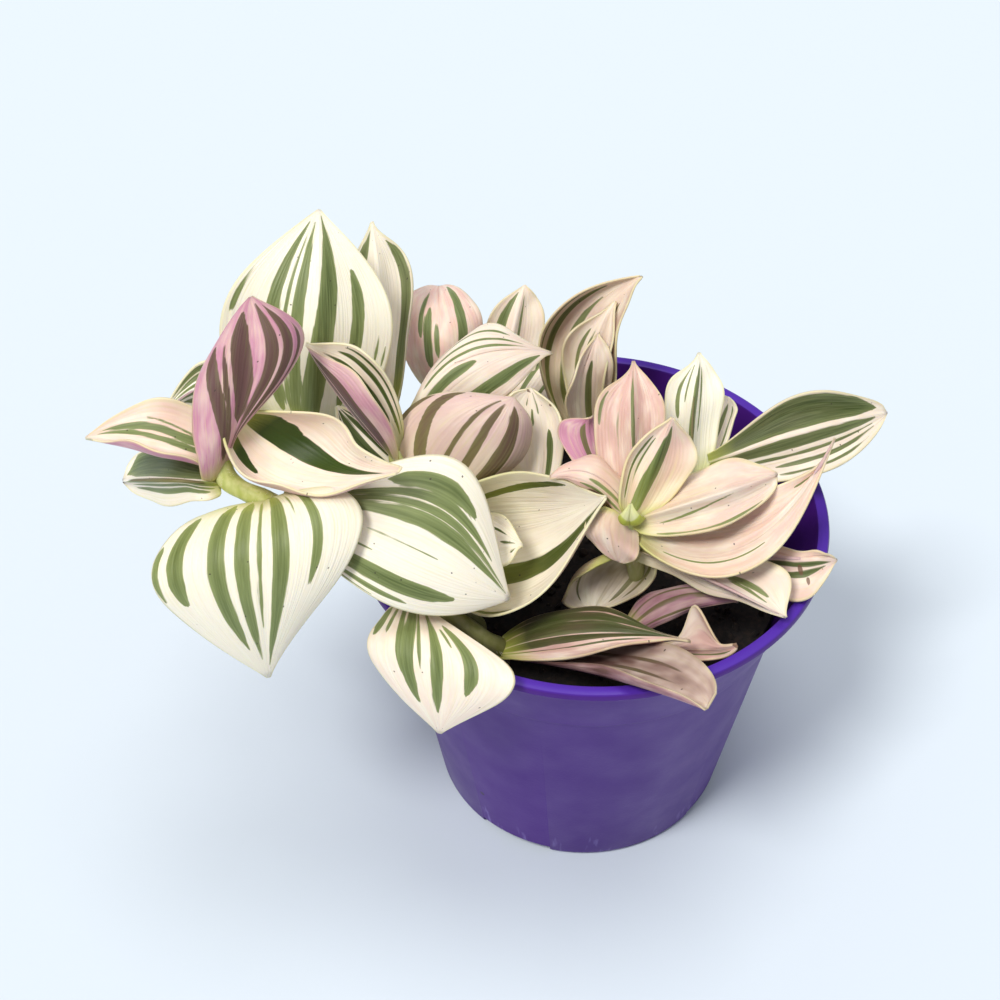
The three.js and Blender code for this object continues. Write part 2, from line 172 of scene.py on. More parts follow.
def turned(name, outline, sides):
    """A closed shape turned about the upright axis from its (radius, height) outline in
    millimetres, from the axis below round to the axis above."""
    mesh = bmesh.new()
    rings = []
    for radius, height in outline:
        if radius == 0:
            rings.append([mesh.verts.new((0, 0, height * MM))] * sides)
            continue
        angles = [2 * math.pi * k / sides for k in range(sides)]
        rings.append([mesh.verts.new((radius * MM * math.cos(a), radius * MM * math.sin(a),
                                      height * MM)) for a in angles])
    for below, above in zip(rings, rings[1:]):
        for k in range(sides):
            turn = (k + 1) % sides
            loop = [below[k], below[turn], above[turn], above[k]]
            face = list(dict.fromkeys(loop))
            if len(face) > 2:
                mesh.faces.new(face)
    bmesh.ops.recalc_face_normals(mesh, faces=mesh.faces)
    data = bpy.data.meshes.new(name)
    mesh.to_mesh(data)
    mesh.free()
    piece = bpy.data.objects.new(name, data)
    scene.collection.objects.link(piece)
    return piece


def plain(piece):
    """Turns a piece with modifiers into a plain mesh."""
    depsgraph = bpy.context.evaluated_depsgraph_get()
    mesh = bpy.data.meshes.new_from_object(piece.evaluated_get(depsgraph), depsgraph=depsgraph)
    piece.modifiers.clear()
    piece.data = mesh


def smooth(piece, angle):
    """Shades a mesh smooth, apart from edges that turn by more than the angle in degrees."""
    piece.data.shade_smooth()
    mesh = bmesh.new()
    mesh.from_mesh(piece.data)
    for edge in mesh.edges:
        edge.smooth = edge.is_manifold and edge.calc_face_angle(0) < math.radians(angle)
    mesh.to_mesh(piece.data)
    mesh.free()


pot = turned("pot_wall", POT_PAD + POT_OUTSIDE + POT_INSIDE, POT_SIDES)

cuts = bmesh.new()
for k in range(FOOT_CUTS):
    angle = FOOT_CUT_TURN + 2 * math.pi * k / FOOT_CUTS
    made = bmesh.ops.create_cube(cuts, size=1)["verts"]
    bmesh.ops.scale(cuts, vec=[size * MM for size in FOOT_CUT_SIZE], verts=made)
    bmesh.ops.translate(cuts, vec=(FOOT_RADIUS * MM, 0, 0), verts=made)
    bmesh.ops.rotate(cuts, cent=(0, 0, 0), matrix=Matrix.Rotation(angle, 3, "Z"), verts=made)
for k in range(DRAINS):
    angle = 2 * math.pi * k / DRAINS
    made = bmesh.ops.create_cone(cuts, cap_ends=True, segments=DRAIN_SIDES,
                                 radius1=DRAIN_RADIUS * MM, radius2=DRAIN_RADIUS * MM,
                                 depth=DRAIN_DEPTH * MM)["verts"]
    place = (DRAIN_CIRCLE * MM * math.cos(angle), DRAIN_CIRCLE * MM * math.sin(angle),
             DRAIN_HEIGHT * MM)
    bmesh.ops.translate(cuts, vec=place, verts=made)
cut_mesh = bpy.data.meshes.new("cuts")
cuts.to_mesh(cut_mesh)
cuts.free()
cutter = bpy.data.objects.new("cuts", cut_mesh)
scene.collection.objects.link(cutter)
cut = pot.modifiers.new("cuts", "BOOLEAN")
cut.operation = "DIFFERENCE"
cut.solver = "EXACT"
cut.object = cutter
plain(pot)
bpy.data.objects.remove(cutter)
smooth(pot, POT_SHARP_ANGLE)

# Polypropylene, injection moulded: a satin skin with a faint mottle 11 mm wide, a grain of 0.7 mm,
# a painted highlight on top of the lip, and scuffs low on the wall in scratches 1 mm wide.
pot_plastic, tree = new_material("violet moulded polypropylene")
place = add(tree, "ShaderNodeTexCoord", out="Object")
mottle = add(tree, "ShaderNodeTexNoise", place, named={"Scale": 90.0, "Detail": 4.0})
scratch_place = add(tree, "ShaderNodeMapping", place, named={"Scale": (900.0, 900.0, 60.0)})
scratch = add(tree, "ShaderNodeTexNoise", scratch_place, named={"Scale": 1.0, "Detail": 2.0})
height = add(tree, "ShaderNodeSeparateXYZ", place, out="Z")
# Painted highlight: a brighter violet on the top of the lip, where the lamps light it.
lip_highlight = add(tree, "ShaderNodeMapRange", height, *[z * MM for z in POT_LIP_HIGHLIGHT_HEIGHTS], 0.0, 1.0)
low = add(tree, "ShaderNodeMapRange", height, *[z * MM for z in POT_SCUFF_HEIGHTS], 0.0, 1.0)
patch = add(tree, "ShaderNodeTexNoise", place, named={"Scale": 120.0, "Detail": 1.0})
worn = add(tree, "ShaderNodeMath", patch, scratch, operation="MULTIPLY")
worn = add(tree, "ShaderNodeMath", worn, low, operation="MULTIPLY")
scuff = add(tree, "ShaderNodeMapRange", worn, 0.3, 0.42, 0.0, 0.55)
speck = add(tree, "ShaderNodeTexVoronoi", place, named={"Scale": 55.0})
dirt = add(tree, "ShaderNodeMapRange", speck, 0.045, 0.03, 0.0, 0.8)
colour = linear(POT_VIOLET)
for cover, over in ((mottle, POT_SHADE), (lip_highlight, POT_LIP_HIGHLIGHT), (scuff, POT_SCUFF), (dirt, POT_DIRT)):
    colour = add(tree, "ShaderNodeMix", cover, colour, linear(over), data_type="RGBA")
rough = add(tree, "ShaderNodeMapRange", mottle, 0.3, 0.7, 0.34, 0.46)
skin = add(tree, "ShaderNodeTexNoise", place, named={"Scale": 1500.0, "Detail": 2.0})
relief = add(tree, "ShaderNodeBump", named={"Height": skin, "Strength": 0.12, "Distance": 0.0002})
surface = add(tree, "ShaderNodeBsdfPrincipled",
              named={"Base Color": colour, "Roughness": rough, "IOR": 1.49, "Normal": relief,
                     "Specular IOR Level": 0.22})
add(tree, "ShaderNodeOutputMaterial", surface)
pot.data.materials.append(pot_plastic)
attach(pot, "root")
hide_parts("pot")


# Soil: dark peat, pressed in by hand up to the pot's collar and slightly crowned, with loose
# crumbs lying on it. It only shows between the leaves.
SOIL_RADIUS = 45.4
SOIL_BASE = 4.35
SOIL_EDGE = 69
SOIL_CROWN = 72
SOIL_RINGS = 26
SOIL_SIDES = 120
SOIL_LUMPS = 0.7
SOIL_SETTLED = 0.6
SOIL_SHARP_ANGLE = 60
PEAT = "#0F0B09"
PEAT_DRY = "#2A1F18"


def soil_height(x, y):
    """The height of the soil in millimetres, with low lumps about 5 mm wide."""
    reach = math.hypot(x, y) / SOIL_RADIUS
    crown = SOIL_CROWN - (SOIL_CROWN - SOIL_EDGE) * reach ** 2
    lumps = math.sin(0.62 * x + 1.3) * math.sin(0.55 * y + 0.4) + 0.6 * math.sin(1.3 * x - 0.9 * y)
    return crown - SOIL_SETTLED + SOIL_LUMPS * lumps * (1 - reach ** 6)


SOIL_OUTSIDE = [(0, SOIL_BASE), (34.5, SOIL_BASE), (35.9, 5.8), (45.4, 66)]
soil_top = [(SOIL_RADIUS * (1 - k / SOIL_RINGS), SOIL_EDGE) for k in range(SOIL_RINGS + 1)]
soil = turned("soil_body", SOIL_OUTSIDE + soil_top, SOIL_SIDES)
for vertex in soil.data.vertices:
    if vertex.co.z > (SOIL_EDGE - 1) * MM:
        vertex.co.z = soil_height(vertex.co.x / MM, vertex.co.y / MM) * MM
smooth(soil, SOIL_SHARP_ANGLE)

# Peat: matt, crumbly and nearly black when damp, with a few paler dry grains 1.4 mm wide.
peat, tree = new_material("damp peat")
place = add(tree, "ShaderNodeTexCoord", out="Object")
grain = add(tree, "ShaderNodeTexNoise", place, named={"Scale": 700.0, "Detail": 5.0})
tone = add(tree, "ShaderNodeMapRange", grain, 0.45, 0.75, 0.0, 1.0)
colour = add(tree, "ShaderNodeMix", tone, linear(PEAT), linear(PEAT_DRY), data_type="RGBA")
relief = add(tree, "ShaderNodeBump", named={"Height": grain, "Strength": 0.6, "Distance": 0.0006})
surface = add(tree, "ShaderNodeBsdfPrincipled",
              named={"Base Color": colour, "Roughness": 0.95, "Normal": relief})
add(tree, "ShaderNodeOutputMaterial", surface)
soil.data.materials.append(peat)
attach(soil, "root")
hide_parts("soil")


# Crumbs: small grains of peat up to 5 mm long that lie loose on the soil, each turned,
# stretched and scaled at random.
CRUMB_REACH = 44
CRUMB_SIZES = {"Gap": 2.2 * MM, "Most per square metre": 90000.0, "Smallest": 0.6 * MM,
               "Largest": 1.7 * MM, "Seed": 4}
CRUMB_TURN = (6.3, 6.3, 6.3)
CRUMB_LEAST = (0.6, 0.6, 0.4)
CRUMB_MOST = (1.5, 1.0, 0.9)


def begin_tree(name, sizes):
    """Starts a geometry node tree with a named input for each size. Returns the tree and the
    outputs of its input node by name."""
    tree = bpy.data.node_groups.new(name, "GeometryNodeTree")
    tree.interface.new_socket("Geometry", in_out="INPUT", socket_type="NodeSocketGeometry")
    tree.interface.new_socket("Geometry", in_out="OUTPUT", socket_type="NodeSocketGeometry")
    kinds = {int: "NodeSocketInt", float: "NodeSocketFloat"}
    for size, value in sizes.items():
        tree.interface.new_socket(size, in_out="INPUT", socket_type=kinds[type(value)])
    return tree, dict(tree.nodes.new("NodeGroupInput").outputs.items())


def end_tree(tree, geometry, material, picked=None):
    """Ends a geometry node tree: real faces instead of instances, and the material on all of
    them or on those that are picked."""
    real = add(tree, "GeometryNodeRealizeInstances", geometry)
    dressed = add(tree, "GeometryNodeSetMaterial", real, picked, material)
    add(tree, "NodeGroupOutput", dressed)
    return tree


def grow(piece, tree, sizes):
    """Runs a geometry node tree on a piece with these sizes, and keeps the result as its mesh."""
    modifier = piece.modifiers.new(tree.name, "NODES")
    modifier.node_group = tree
    for socket in tree.interface.items_tree:
        if socket.in_out == "INPUT" and socket.name in sizes:
            modifier[socket.identifier] = sizes[socket.name]
    plain(piece)


tree, sizes = begin_tree("peat crumbs", CRUMB_SIZES)
dots = add(tree, "GeometryNodeDistributePointsOnFaces", sizes["Geometry"],
           distribute_method="POISSON",
           named={"Distance Min": sizes["Gap"], "Density Max": sizes["Most per square metre"],
                  "Seed": sizes["Seed"]})
grain = add(tree, "GeometryNodeMeshIcoSphere", 1.0, 1)
turn = add(tree, "FunctionNodeRandomValue", data_type="FLOAT_VECTOR",
           named={"Max": CRUMB_TURN, "Seed": sizes["Seed"]})
scale = add(tree, "FunctionNodeRandomValue", data_type="FLOAT",
            named={"Min": sizes["Smallest"], "Max": sizes["Largest"], "Seed": sizes["Seed"]})
stretch = add(tree, "FunctionNodeRandomValue", data_type="FLOAT_VECTOR",
              named={"Min": CRUMB_LEAST, "Max": CRUMB_MOST, "Seed": sizes["Seed"]})
size = add(tree, "ShaderNodeVectorMath", stretch, scale, operation="SCALE")
scattered = add(tree, "GeometryNodeInstanceOnPoints", dots,
                named={"Instance": grain, "Rotation": turn, "Scale": size})
crumb_tree = end_tree(tree, scattered, peat)

crumb_top = [(CRUMB_REACH * (1 - k / SOIL_RINGS), SOIL_EDGE) for k in range(SOIL_RINGS + 1)]
crumbs = turned("soil_crumbs", crumb_top, SOIL_SIDES // 2)
for vertex in crumbs.data.vertices:
    vertex.co.z = soil_height(vertex.co.x / MM, vertex.co.y / MM) * MM
grow(crumbs, crumb_tree, CRUMB_SIZES)
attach(crumbs, "root")


# Leaves: soft fleshy blades, about 0.5 mm thick, folded a little along the midrib and waved
# at the margin. The upper skin is cream with green stripes, the under skin violet. Each leaf
# is given by its foot, the middle of its midrib, its tip, and its left and right corners.
LEAF_THICKNESS = 0.5
LEAF_COLUMNS = 60
LEAF_ROWS = 36
CLASP_WIDTH = 2.2
TIP_WIDTH = 0.4
MARGIN_WAVES = 2.0
MARGIN_PHASE = 1.9
MIDRIB_GROOVE = 0.35
MIDRIB_HALF = 0.07
ROLLED_PART = 0.4
STRIPE_TAPER = (0.06, 0.12)
NO_STRIPE = 9.0
CREAM = "#FEF8E6"
MARGIN = "#DFD993"
BLUSH = "#EBC0B6"
FOOT_GREEN = "#B5BC4E"
SAGE = "#8A9662"
DEEP_GREEN = "#31450C"
VIOLET = "#C489A2"
UNDER_PALE = "#EDDCC8"
OLIVE = "#7C7B4B"
BROWN_VIOLET = "#644744"
# Painted shade: the dusky brown laid over leaves that lie in the shade of others, strongest at the
# foot.
PAINTED_SHADE_BROWN = "#6B4F48"
DRY = "#70503B"
SPECK = "#3A3026"
# Patterns are per metre of a flat sheet on which each leaf has a layer of its own.
SHEET_GAP = 7.3
LEAF_STREAKS = (2500.0, 80.0, 1.0)
LEAF_CLOUDS = (330.0, 100.0, 1.0)
LEAF_SPECKS = 250.0
LEAF_VEINS = (1700.0, 25.0, 1.0)
LEAF_CELLS = 5500.0


def leaf_skin(name, pale, tinted, tint_axis, stripe, stripe_dark, gloss):
    """A leaf skin: pale tissue that takes on a tint, stripes that follow the veins, a yellow
    margin, a green foot and dry spots. Patterns lie in the blade's own flat millimetres."""
    skin, tree = new_material(name)
    sheet, place, tint = [add(tree, "ShaderNodeAttribute", attribute_name=kept, out="Vector")
                          for kept in ("sheet", "place", "tint")]
    gap, dry, young, painted_shade = [add(tree, "ShaderNodeAttribute", attribute_name=kept, out="Fac")
                              for kept in ("stripe", "dry", "young", "painted_shade")]
    tints = add(tree, "ShaderNodeSeparateXYZ", tint).node.outputs
    along, inward = add(tree, "ShaderNodeSeparateXYZ", place).node.outputs[1:]

    # Fine streaks 0.4 mm wide and 12 mm long, softer clouds 3 mm wide and 10 mm long, and the
    # veins, 0.6 mm apart. The first two also make the edges of the stripes uneven.
    streak, cloud, veins = [
        add(tree, "ShaderNodeTexNoise", add(tree, "ShaderNodeMapping", sheet, named={"Scale": scale}),
            named={"Scale": 1.0, "Detail": detail})
        for scale, detail in ((LEAF_STREAKS, 2.0), (LEAF_CLOUDS, 2.0), (LEAF_VEINS, 0.0))]
    wobble = add(tree, "ShaderNodeMath", streak, 0.55, -0.6, operation="MULTIPLY_ADD")
    wobble = add(tree, "ShaderNodeMath", cloud, 0.65, wobble, operation="MULTIPLY_ADD")
    edge = add(tree, "ShaderNodeMath", gap, wobble, operation="ADD")
    mask = add(tree, "ShaderNodeMapRange", edge, -0.11, 0.13, 1.0, 0.0,
               interpolation_type="SMOOTHSTEP")

    # The pale flesh with its tint and its yellow rim, and the green of the stripes.
    amount = add(tree, "ShaderNodeMapRange", cloud, 0.25, 0.6, 0.45, 1.25)
    amount = add(tree, "ShaderNodeMath", amount, tints[tint_axis], operation="MULTIPLY",
                 use_clamp=True)
    ghost = add(tree, "ShaderNodeMapRange", streak, 0.5, 0.75, 0.0, 0.28)
    rim = add(tree, "ShaderNodeMapRange", inward, 0.1, 0.55, 0.42, 0.0)
    flesh = linear(pale)
    for cover, over in ((amount, tinted), (ghost, MARGIN), (rim, MARGIN)):
        flesh = add(tree, "ShaderNodeMix", cover, flesh, linear(over), data_type="RGBA")
    inside = add(tree, "ShaderNodeMapRange", gap, -0.2, -1.6, 0.0, 0.35)
    deep = add(tree, "ShaderNodeMapRange", streak, 0.3, 0.7, -0.15, 0.25)
    deep = add(tree, "ShaderNodeMath", deep, inside, operation="ADD")
    deep = add(tree, "ShaderNodeMath", deep, tints[2], operation="ADD", use_clamp=True)
    green = add(tree, "ShaderNodeMix", deep, linear(stripe), linear(stripe_dark), data_type="RGBA")
    colour = add(tree, "ShaderNodeMix", mask, flesh, green, data_type="RGBA")

    # Over all of that: painted shade on leaves in the shade of others, the yellow-green of its foot
    # and of a young leaf, dry spots, and soil specks up to 0.5 mm across, about one in each square
    # centimetre.
    shade = add(tree, "ShaderNodeMapRange", along, 0.45, 1.0, 2.2, 0.9)
    shade = add(tree, "ShaderNodeMath", shade, painted_shade, operation="MULTIPLY")
    shade = add(tree, "ShaderNodeMath", shade, cloud, operation="MULTIPLY", use_clamp=True)
    foot = add(tree, "ShaderNodeMapRange", along, 0.02, 0.17, 0.7, 0.0)
    fresh = add(tree, "ShaderNodeMapRange", along, 0.1, 0.65, 1.0, 0.12)
    fresh = add(tree, "ShaderNodeMath", fresh, young, operation="MULTIPLY", use_clamp=True)
    foot = add(tree, "ShaderNodeMath", foot, fresh, operation="MAXIMUM")
    ragged = add(tree, "ShaderNodeMath", cloud, -0.9, dry, operation="MULTIPLY_ADD")
    burnt = add(tree, "ShaderNodeMapRange", ragged, 0.0, 0.12, 0.0, 0.85)
    speck = add(tree, "ShaderNodeTexVoronoi", sheet, named={"Scale": LEAF_SPECKS})
    speck = add(tree, "ShaderNodeMapRange", speck, 0.065, 0.045, 0.0, 0.85)
    for cover, over in ((shade, PAINTED_SHADE_BROWN), (foot, FOOT_GREEN), (burnt, DRY), (speck, SPECK)):
        colour = add(tree, "ShaderNodeMix", cover, colour, linear(over), data_type="RGBA")

    # Raised veins, and the swollen cells between them, drawn 0.2 mm across so that they show.
    cells = add(tree, "ShaderNodeTexVoronoi", sheet, named={"Scale": LEAF_CELLS})
    ribs = add(tree, "ShaderNodeBump", named={"Height": veins, "Strength": 0.5, "Distance": 0.0003})
    relief = add(tree, "ShaderNodeBump", named={"Height": cells, "Strength": 0.12,
                                                "Distance": 0.0001, "Normal": ribs})
    rough = add(tree, "ShaderNodeMapRange", cloud, 0.3, 0.7, gloss, gloss + 0.12)
    surface = add(tree, "ShaderNodeBsdfPrincipled",
                  named={"Base Color": colour, "Roughness": rough, "IOR": 1.4, "Normal": relief,
                         "Subsurface Weight": 0.25, "Subsurface Radius": (1.0, 0.8, 0.45),
                         "Subsurface Scale": 0.0012})
    add(tree, "ShaderNodeOutputMaterial", surface)
    return skin


# Living leaf: moist cells under a thin waxy skin, which gives a soft gloss and lets some
# light through. The under skin is a little duller.
upper_skin = leaf_skin("upper leaf skin", CREAM, BLUSH, 0, SAGE, DEEP_GREEN, 0.42)
under_skin = leaf_skin("under leaf skin", UNDER_PALE, VIOLET, 1, OLIVE, BROWN_VIOLET, 0.5)


def work_out(tree, kind, value, rows):
    """Adds one node for each row. A row holds the name of its result, the operation, and what
    it takes, as numbers or as the names of earlier results."""
    for name, operation, *feeds in rows:
        feeds = [value[feed] if isinstance(feed, str) else feed for feed in feeds]
        value[name] = add(tree, kind, *feeds, operation=operation)


# The blade tree copies one grid onto each leaf's point and bends it by that leaf's own values.
# Across runs from -1 at the left margin to 1 at the right one, along from the foot to the tip.
BLADE_SIZES = {
    "Columns": LEAF_COLUMNS + 1, "Rows": LEAF_ROWS + 1, "Clasp width": CLASP_WIDTH * MM,
    "Tip width": TIP_WIDTH * MM, "Margin waves": MARGIN_WAVES, "Midrib groove": MIDRIB_GROOVE * MM,
    "Midrib half width": MIDRIB_HALF}
tree, value = begin_tree("leaf blades", BLADE_SIZES)
grid = add(tree, "GeometryNodeMeshGrid", 2.0, 1.0, value["Columns"], value["Rows"])
flat = add(tree, "ShaderNodeSeparateXYZ", add(tree, "GeometryNodeInputPosition")).node.outputs
along = add(tree, "ShaderNodeMath", flat["Y"], 0.5, operation="ADD")
for name, place in {"across": flat["X"], "along": along}.items():
    grid = add(tree, "GeometryNodeStoreNamedAttribute", grid, None, name, place, data_type="FLOAT")
blades = add(tree, "GeometryNodeInstanceOnPoints", value["Geometry"], named={"Instance": grid})
blades = add(tree, "GeometryNodeRealizeInstances", blades)

for kind, names in {
        "FLOAT_VECTOR": ("foot", "chord", "bow", "reach_left", "reach_right", "side"),
        "FLOAT": ("across", "along", "exponent", "wave", "cup_left", "cup_right", "roll_left",
                  "roll_right", "foot_power_left", "foot_power_right", "tip_power_left",
                  "tip_power_right")}.items():
    for name in names:
        value[name] = add(tree, "GeometryNodeInputNamedAttribute", name, data_type=kind)

# What differs between the two halves of a leaf.
work_out(tree, "ShaderNodeMath", value, [("is left", "LESS_THAN", "across", 0.0)])
for name in ("foot_power", "tip_power", "cup", "roll", "reach"):
    value[name] = add(tree, "ShaderNodeMix", value["is left"], value[name + "_right"],
                      value[name + "_left"], data_type="VECTOR" if name == "reach" else "FLOAT")
value["fullness"] = add(tree, "ShaderNodeMix", value["along"], value["foot_power"],
                        value["tip_power"], data_type="FLOAT")

# The share of the full half width, and the clasping strip that holds the foot and the tip.
work_out(tree, "ShaderNodeMath", value, [
    ("rest", "SUBTRACT", 1.0, "along"),
    ("out", "ABSOLUTE", "across"),
    ("share", "POWER", "along", "exponent"),
    ("share", "MULTIPLY", "share", math.pi),
    ("share", "SINE", "share"),
    ("share", "MAXIMUM", "share", 0.0),
    ("share", "POWER", "share", "fullness"),
    ("spread", "MULTIPLY", "out", "share"),
    ("clasp", "POWER", "rest", 4.0),
    ("clasp", "MULTIPLY", "clasp", "Clasp width"),
    ("least", "MULTIPLY_ADD", "along", "Tip width", "clasp"),
    ("least", "MULTIPLY", "least", "across"),
])

# The lift off that plane: the cupped half, the rolled and waved margin, the midrib's groove.
work_out(tree, "ShaderNodeMath", value, [
    ("lift", "SUBTRACT", 1.0, "out"),
    ("lift", "MULTIPLY", "lift", "spread"),
    ("lift", "MULTIPLY", "lift", "cup"),
    ("lift", "MULTIPLY", "lift", -4.0),
    ("outer", "MULTIPLY_ADD", "out", 1 / ROLLED_PART, 1 - 1 / ROLLED_PART),
    ("outer", "MAXIMUM", "outer", 0.0),
    ("outer", "POWER", "outer", 2.0),
    ("outer", "MULTIPLY", "outer", "share"),
    ("lift", "MULTIPLY_ADD", "outer", "roll", "lift"),
    ("swell", "MULTIPLY", "along", math.pi),
    ("swell", "SINE", "swell"),
    ("phase", "MULTIPLY_ADD", "is left", -MARGIN_PHASE, MARGIN_PHASE),
    ("ripple", "MULTIPLY", "Margin waves", 2 * math.pi),
    ("ripple", "MULTIPLY_ADD", "along", "ripple", "phase"),
    ("ripple", "SINE", "ripple"),
    ("ripple", "MULTIPLY", "ripple", "swell"),
    ("square", "MULTIPLY", "out", "out"),
    ("ripple", "MULTIPLY", "ripple", "square"),
    ("lift", "MULTIPLY_ADD", "ripple", "wave", "lift"),
    ("groove", "DIVIDE", "out", "Midrib half width"),
    ("groove", "MULTIPLY", "groove", "groove"),
    ("groove", "MULTIPLY", "groove", -1.0),
    ("groove", "EXPONENT", "groove"),
    ("groove", "MULTIPLY", "groove", "swell"),
    ("groove", "MULTIPLY", "groove", "Midrib groove"),
    ("lift", "SUBTRACT", "lift", "groove"),
    ("fall", "MULTIPLY_ADD", "along", -2.0, 1.0),
    ("sign", "MULTIPLY_ADD", "is left", -2.0, 1.0),
])

# The point: on the midrib, out along the half, and up off it.
work_out(tree, "ShaderNodeVectorMath", value, [
    ("run", "SCALE", "bow", "rest"),
    ("run", "ADD", "chord", "run"),
    ("run", "SCALE", "run", "along"),
    ("point", "ADD", "foot", "run"),
    ("half", "SCALE", "reach", "spread"),
    ("point", "ADD", "point", "half"),
    ("strip", "SCALE", "side", "least"),
    ("point", "ADD", "point", "strip"),
    ("ahead", "SCALE", "bow", "fall"),
    ("ahead", "ADD", "chord", "ahead"),
    ("up", "CROSS_PRODUCT", "reach", "ahead"),
    ("up", "NORMALIZE", "up"),
    ("up", "SCALE", "up", "sign"),
    ("up", "SCALE", "up", "lift"),
    ("point", "ADD", "point", "up"),
])
blades = add(tree, "GeometryNodeSetPosition", blades, named={"Position": value["point"]})
blades = add(tree, "GeometryNodeSetShadeSmooth", blades)
blade_tree = end_tree(tree, blades, upper_skin)


# Stems: round juicy shoots as thick as a straw, rooted in the peat and swollen into a sheath
# below each leaf's foot. The sheaths carry short white hairs.
STEM_FOOT = 66
STEM_TOP_OF_SOIL = 74
STEM_GREEN = "#B9C168"
STEM_PALE = "#D8D996"
STEM_BLUSH = "#C79AA0"
STEM_LOW_SHADE = "#4D4A2C"
STEM_LOW_SHADE_HEIGHTS = (97, 80)
STEM_TAPER_START = 0.85
STEM_TAPER = 0.98
STEM_CURVE_STEPS = 16
HAIR_COLOUR = "#F4F1E2"
HAIR_SIDES = 3

# Stem flesh: watery and smooth, streaked 1.4 mm wide, blushed in patches, and darkened low down as
# painted shade.
stem_flesh, tree = new_material("stem flesh")
place = add(tree, "ShaderNodeTexCoord", out="Object")
streak_place = add(tree, "ShaderNodeMapping", place, named={"Scale": (700.0, 700.0, 60.0)})
streak = add(tree, "ShaderNodeTexNoise", streak_place, named={"Scale": 1.0, "Detail": 2.0})
patch = add(tree, "ShaderNodeTexNoise", place, named={"Scale": 120.0, "Detail": 2.0})
tone = add(tree, "ShaderNodeMapRange", streak, 0.35, 0.65, 0.0, 0.8)
blush = add(tree, "ShaderNodeMapRange", patch, 0.5, 0.75, 0.0, 0.3)
height = add(tree, "ShaderNodeSeparateXYZ", place, out="Z")
# Painted shade: the stems turn a darker brown-green low down near the soil, under the leaves.
low_shade = add(tree, "ShaderNodeMapRange", height, *[z * MM for z in STEM_LOW_SHADE_HEIGHTS], 0.0, 0.75)
colour = linear(STEM_GREEN)
for cover, over in ((tone, STEM_PALE), (blush, STEM_BLUSH), (low_shade, STEM_LOW_SHADE)):
    colour = add(tree, "ShaderNodeMix", cover, colour, linear(over), data_type="RGBA")
relief = add(tree, "ShaderNodeBump", named={"Height": streak, "Strength": 0.08, "Distance": 0.0003})
surface = add(tree, "ShaderNodeBsdfPrincipled",
              named={"Base Color": colour, "Roughness": 0.4, "IOR": 1.4, "Normal": relief,
                     "Subsurface Weight": 0.25, "Subsurface Radius": (1.0, 0.9, 0.4),
                     "Subsurface Scale": 0.0015})
add(tree, "ShaderNodeOutputMaterial", surface)

# Hairs: dry single cells, glassy and white.
hair_white, tree = new_material("plant hair")
surface = add(tree, "ShaderNodeBsdfPrincipled",
              named={"Base Color": linear(HAIR_COLOUR), "Roughness": 0.5, "IOR": 1.45})
add(tree, "ShaderNodeOutputMaterial", surface)

STEM_SIZES = {
    "Rings": 90, "Sides": 20, "Stem radius": 2.0 * MM, "Sheath radius": 2.5 * MM,
    "Sheath reach": 6 * MM, "Hair reach": 3.6 * MM, "Hair length": 0.8 * MM,
    "Hair radius": 0.035 * MM, "Hairs per square metre": 500000.0, "Seed": 3}
tree, sizes = begin_tree("stem and sheaths", STEM_SIZES)
path = add(tree, "GeometryNodeMeshToCurve", sizes["Geometry"])
path = add(tree, "GeometryNodeCurveSplineType", path, spline_type="CATMULL_ROM")
path = add(tree, "GeometryNodeSetSplineResolution", path, named={"Resolution": STEM_CURVE_STEPS})
path = add(tree, "GeometryNodeResampleCurve", path, named={"Count": sizes["Rings"]})
is_foot = add(tree, "GeometryNodeInputNamedAttribute", "is_foot", data_type="FLOAT")
is_path = add(tree, "ShaderNodeMath", is_foot, 0.5, operation="LESS_THAN")
feet = add(tree, "GeometryNodeDeleteGeometry", sizes["Geometry"], is_path, domain="POINT")
near = add(tree, "GeometryNodeProximity", feet, target_element="POINTS", out="Distance")
radius = add(tree, "ShaderNodeMapRange", near, 0.0, sizes["Sheath reach"],
             sizes["Sheath radius"], sizes["Stem radius"], interpolation_type="SMOOTHSTEP")
part = add(tree, "GeometryNodeSplineParameter", out="Factor")
end = add(tree, "ShaderNodeMapRange", part, STEM_TAPER_START, 1.0, 0.0, STEM_TAPER)
end = add(tree, "ShaderNodeMath", end, end, operation="MULTIPLY")
end = add(tree, "ShaderNodeMath", 1.0, end, operation="SUBTRACT")
radius = add(tree, "ShaderNodeMath", radius, end, operation="MULTIPLY")
ring = add(tree, "GeometryNodeCurvePrimitiveCircle", named={"Resolution": sizes["Sides"],
                                                           "Radius": 1.0})
tube = add(tree, "GeometryNodeCurveToMesh", path, ring, named={"Scale": radius, "Fill Caps": True})
tube = add(tree, "GeometryNodeSetShadeSmooth", tube)

# The hairs stand on the sheath, close to each leaf's foot.
close = add(tree, "ShaderNodeMath", near, sizes["Hair reach"], operation="LESS_THAN")
roots = add(tree, "GeometryNodeDistributePointsOnFaces", tube, out="Points",
            named={"Selection": close, "Density": sizes["Hairs per square metre"],
                   "Seed": sizes["Seed"]})
stand = add(tree, "FunctionNodeAlignRotationToVector", axis="Z",
            named={"Vector": roots.node.outputs["Normal"]})
hair = add(tree, "GeometryNodeMeshCone", HAIR_SIDES, 1, 1, 0.0, sizes["Hair radius"],
           sizes["Hair length"])
hair = add(tree, "GeometryNodeSetMaterial", hair, None, hair_white)
hairs = add(tree, "GeometryNodeInstanceOnPoints", roots,
            named={"Instance": hair, "Rotation": stand})
both = tree.nodes.new("GeometryNodeJoinGeometry")
for made in (tube, hairs):
    tree.links.new(made, both.inputs[0])
is_hair = add(tree, "GeometryNodeMaterialSelection", hair_white)
is_flesh = add(tree, "FunctionNodeBooleanMath", is_hair, operation="NOT")
stem_tree = end_tree(tree, both.outputs[0], stem_flesh, is_flesh)
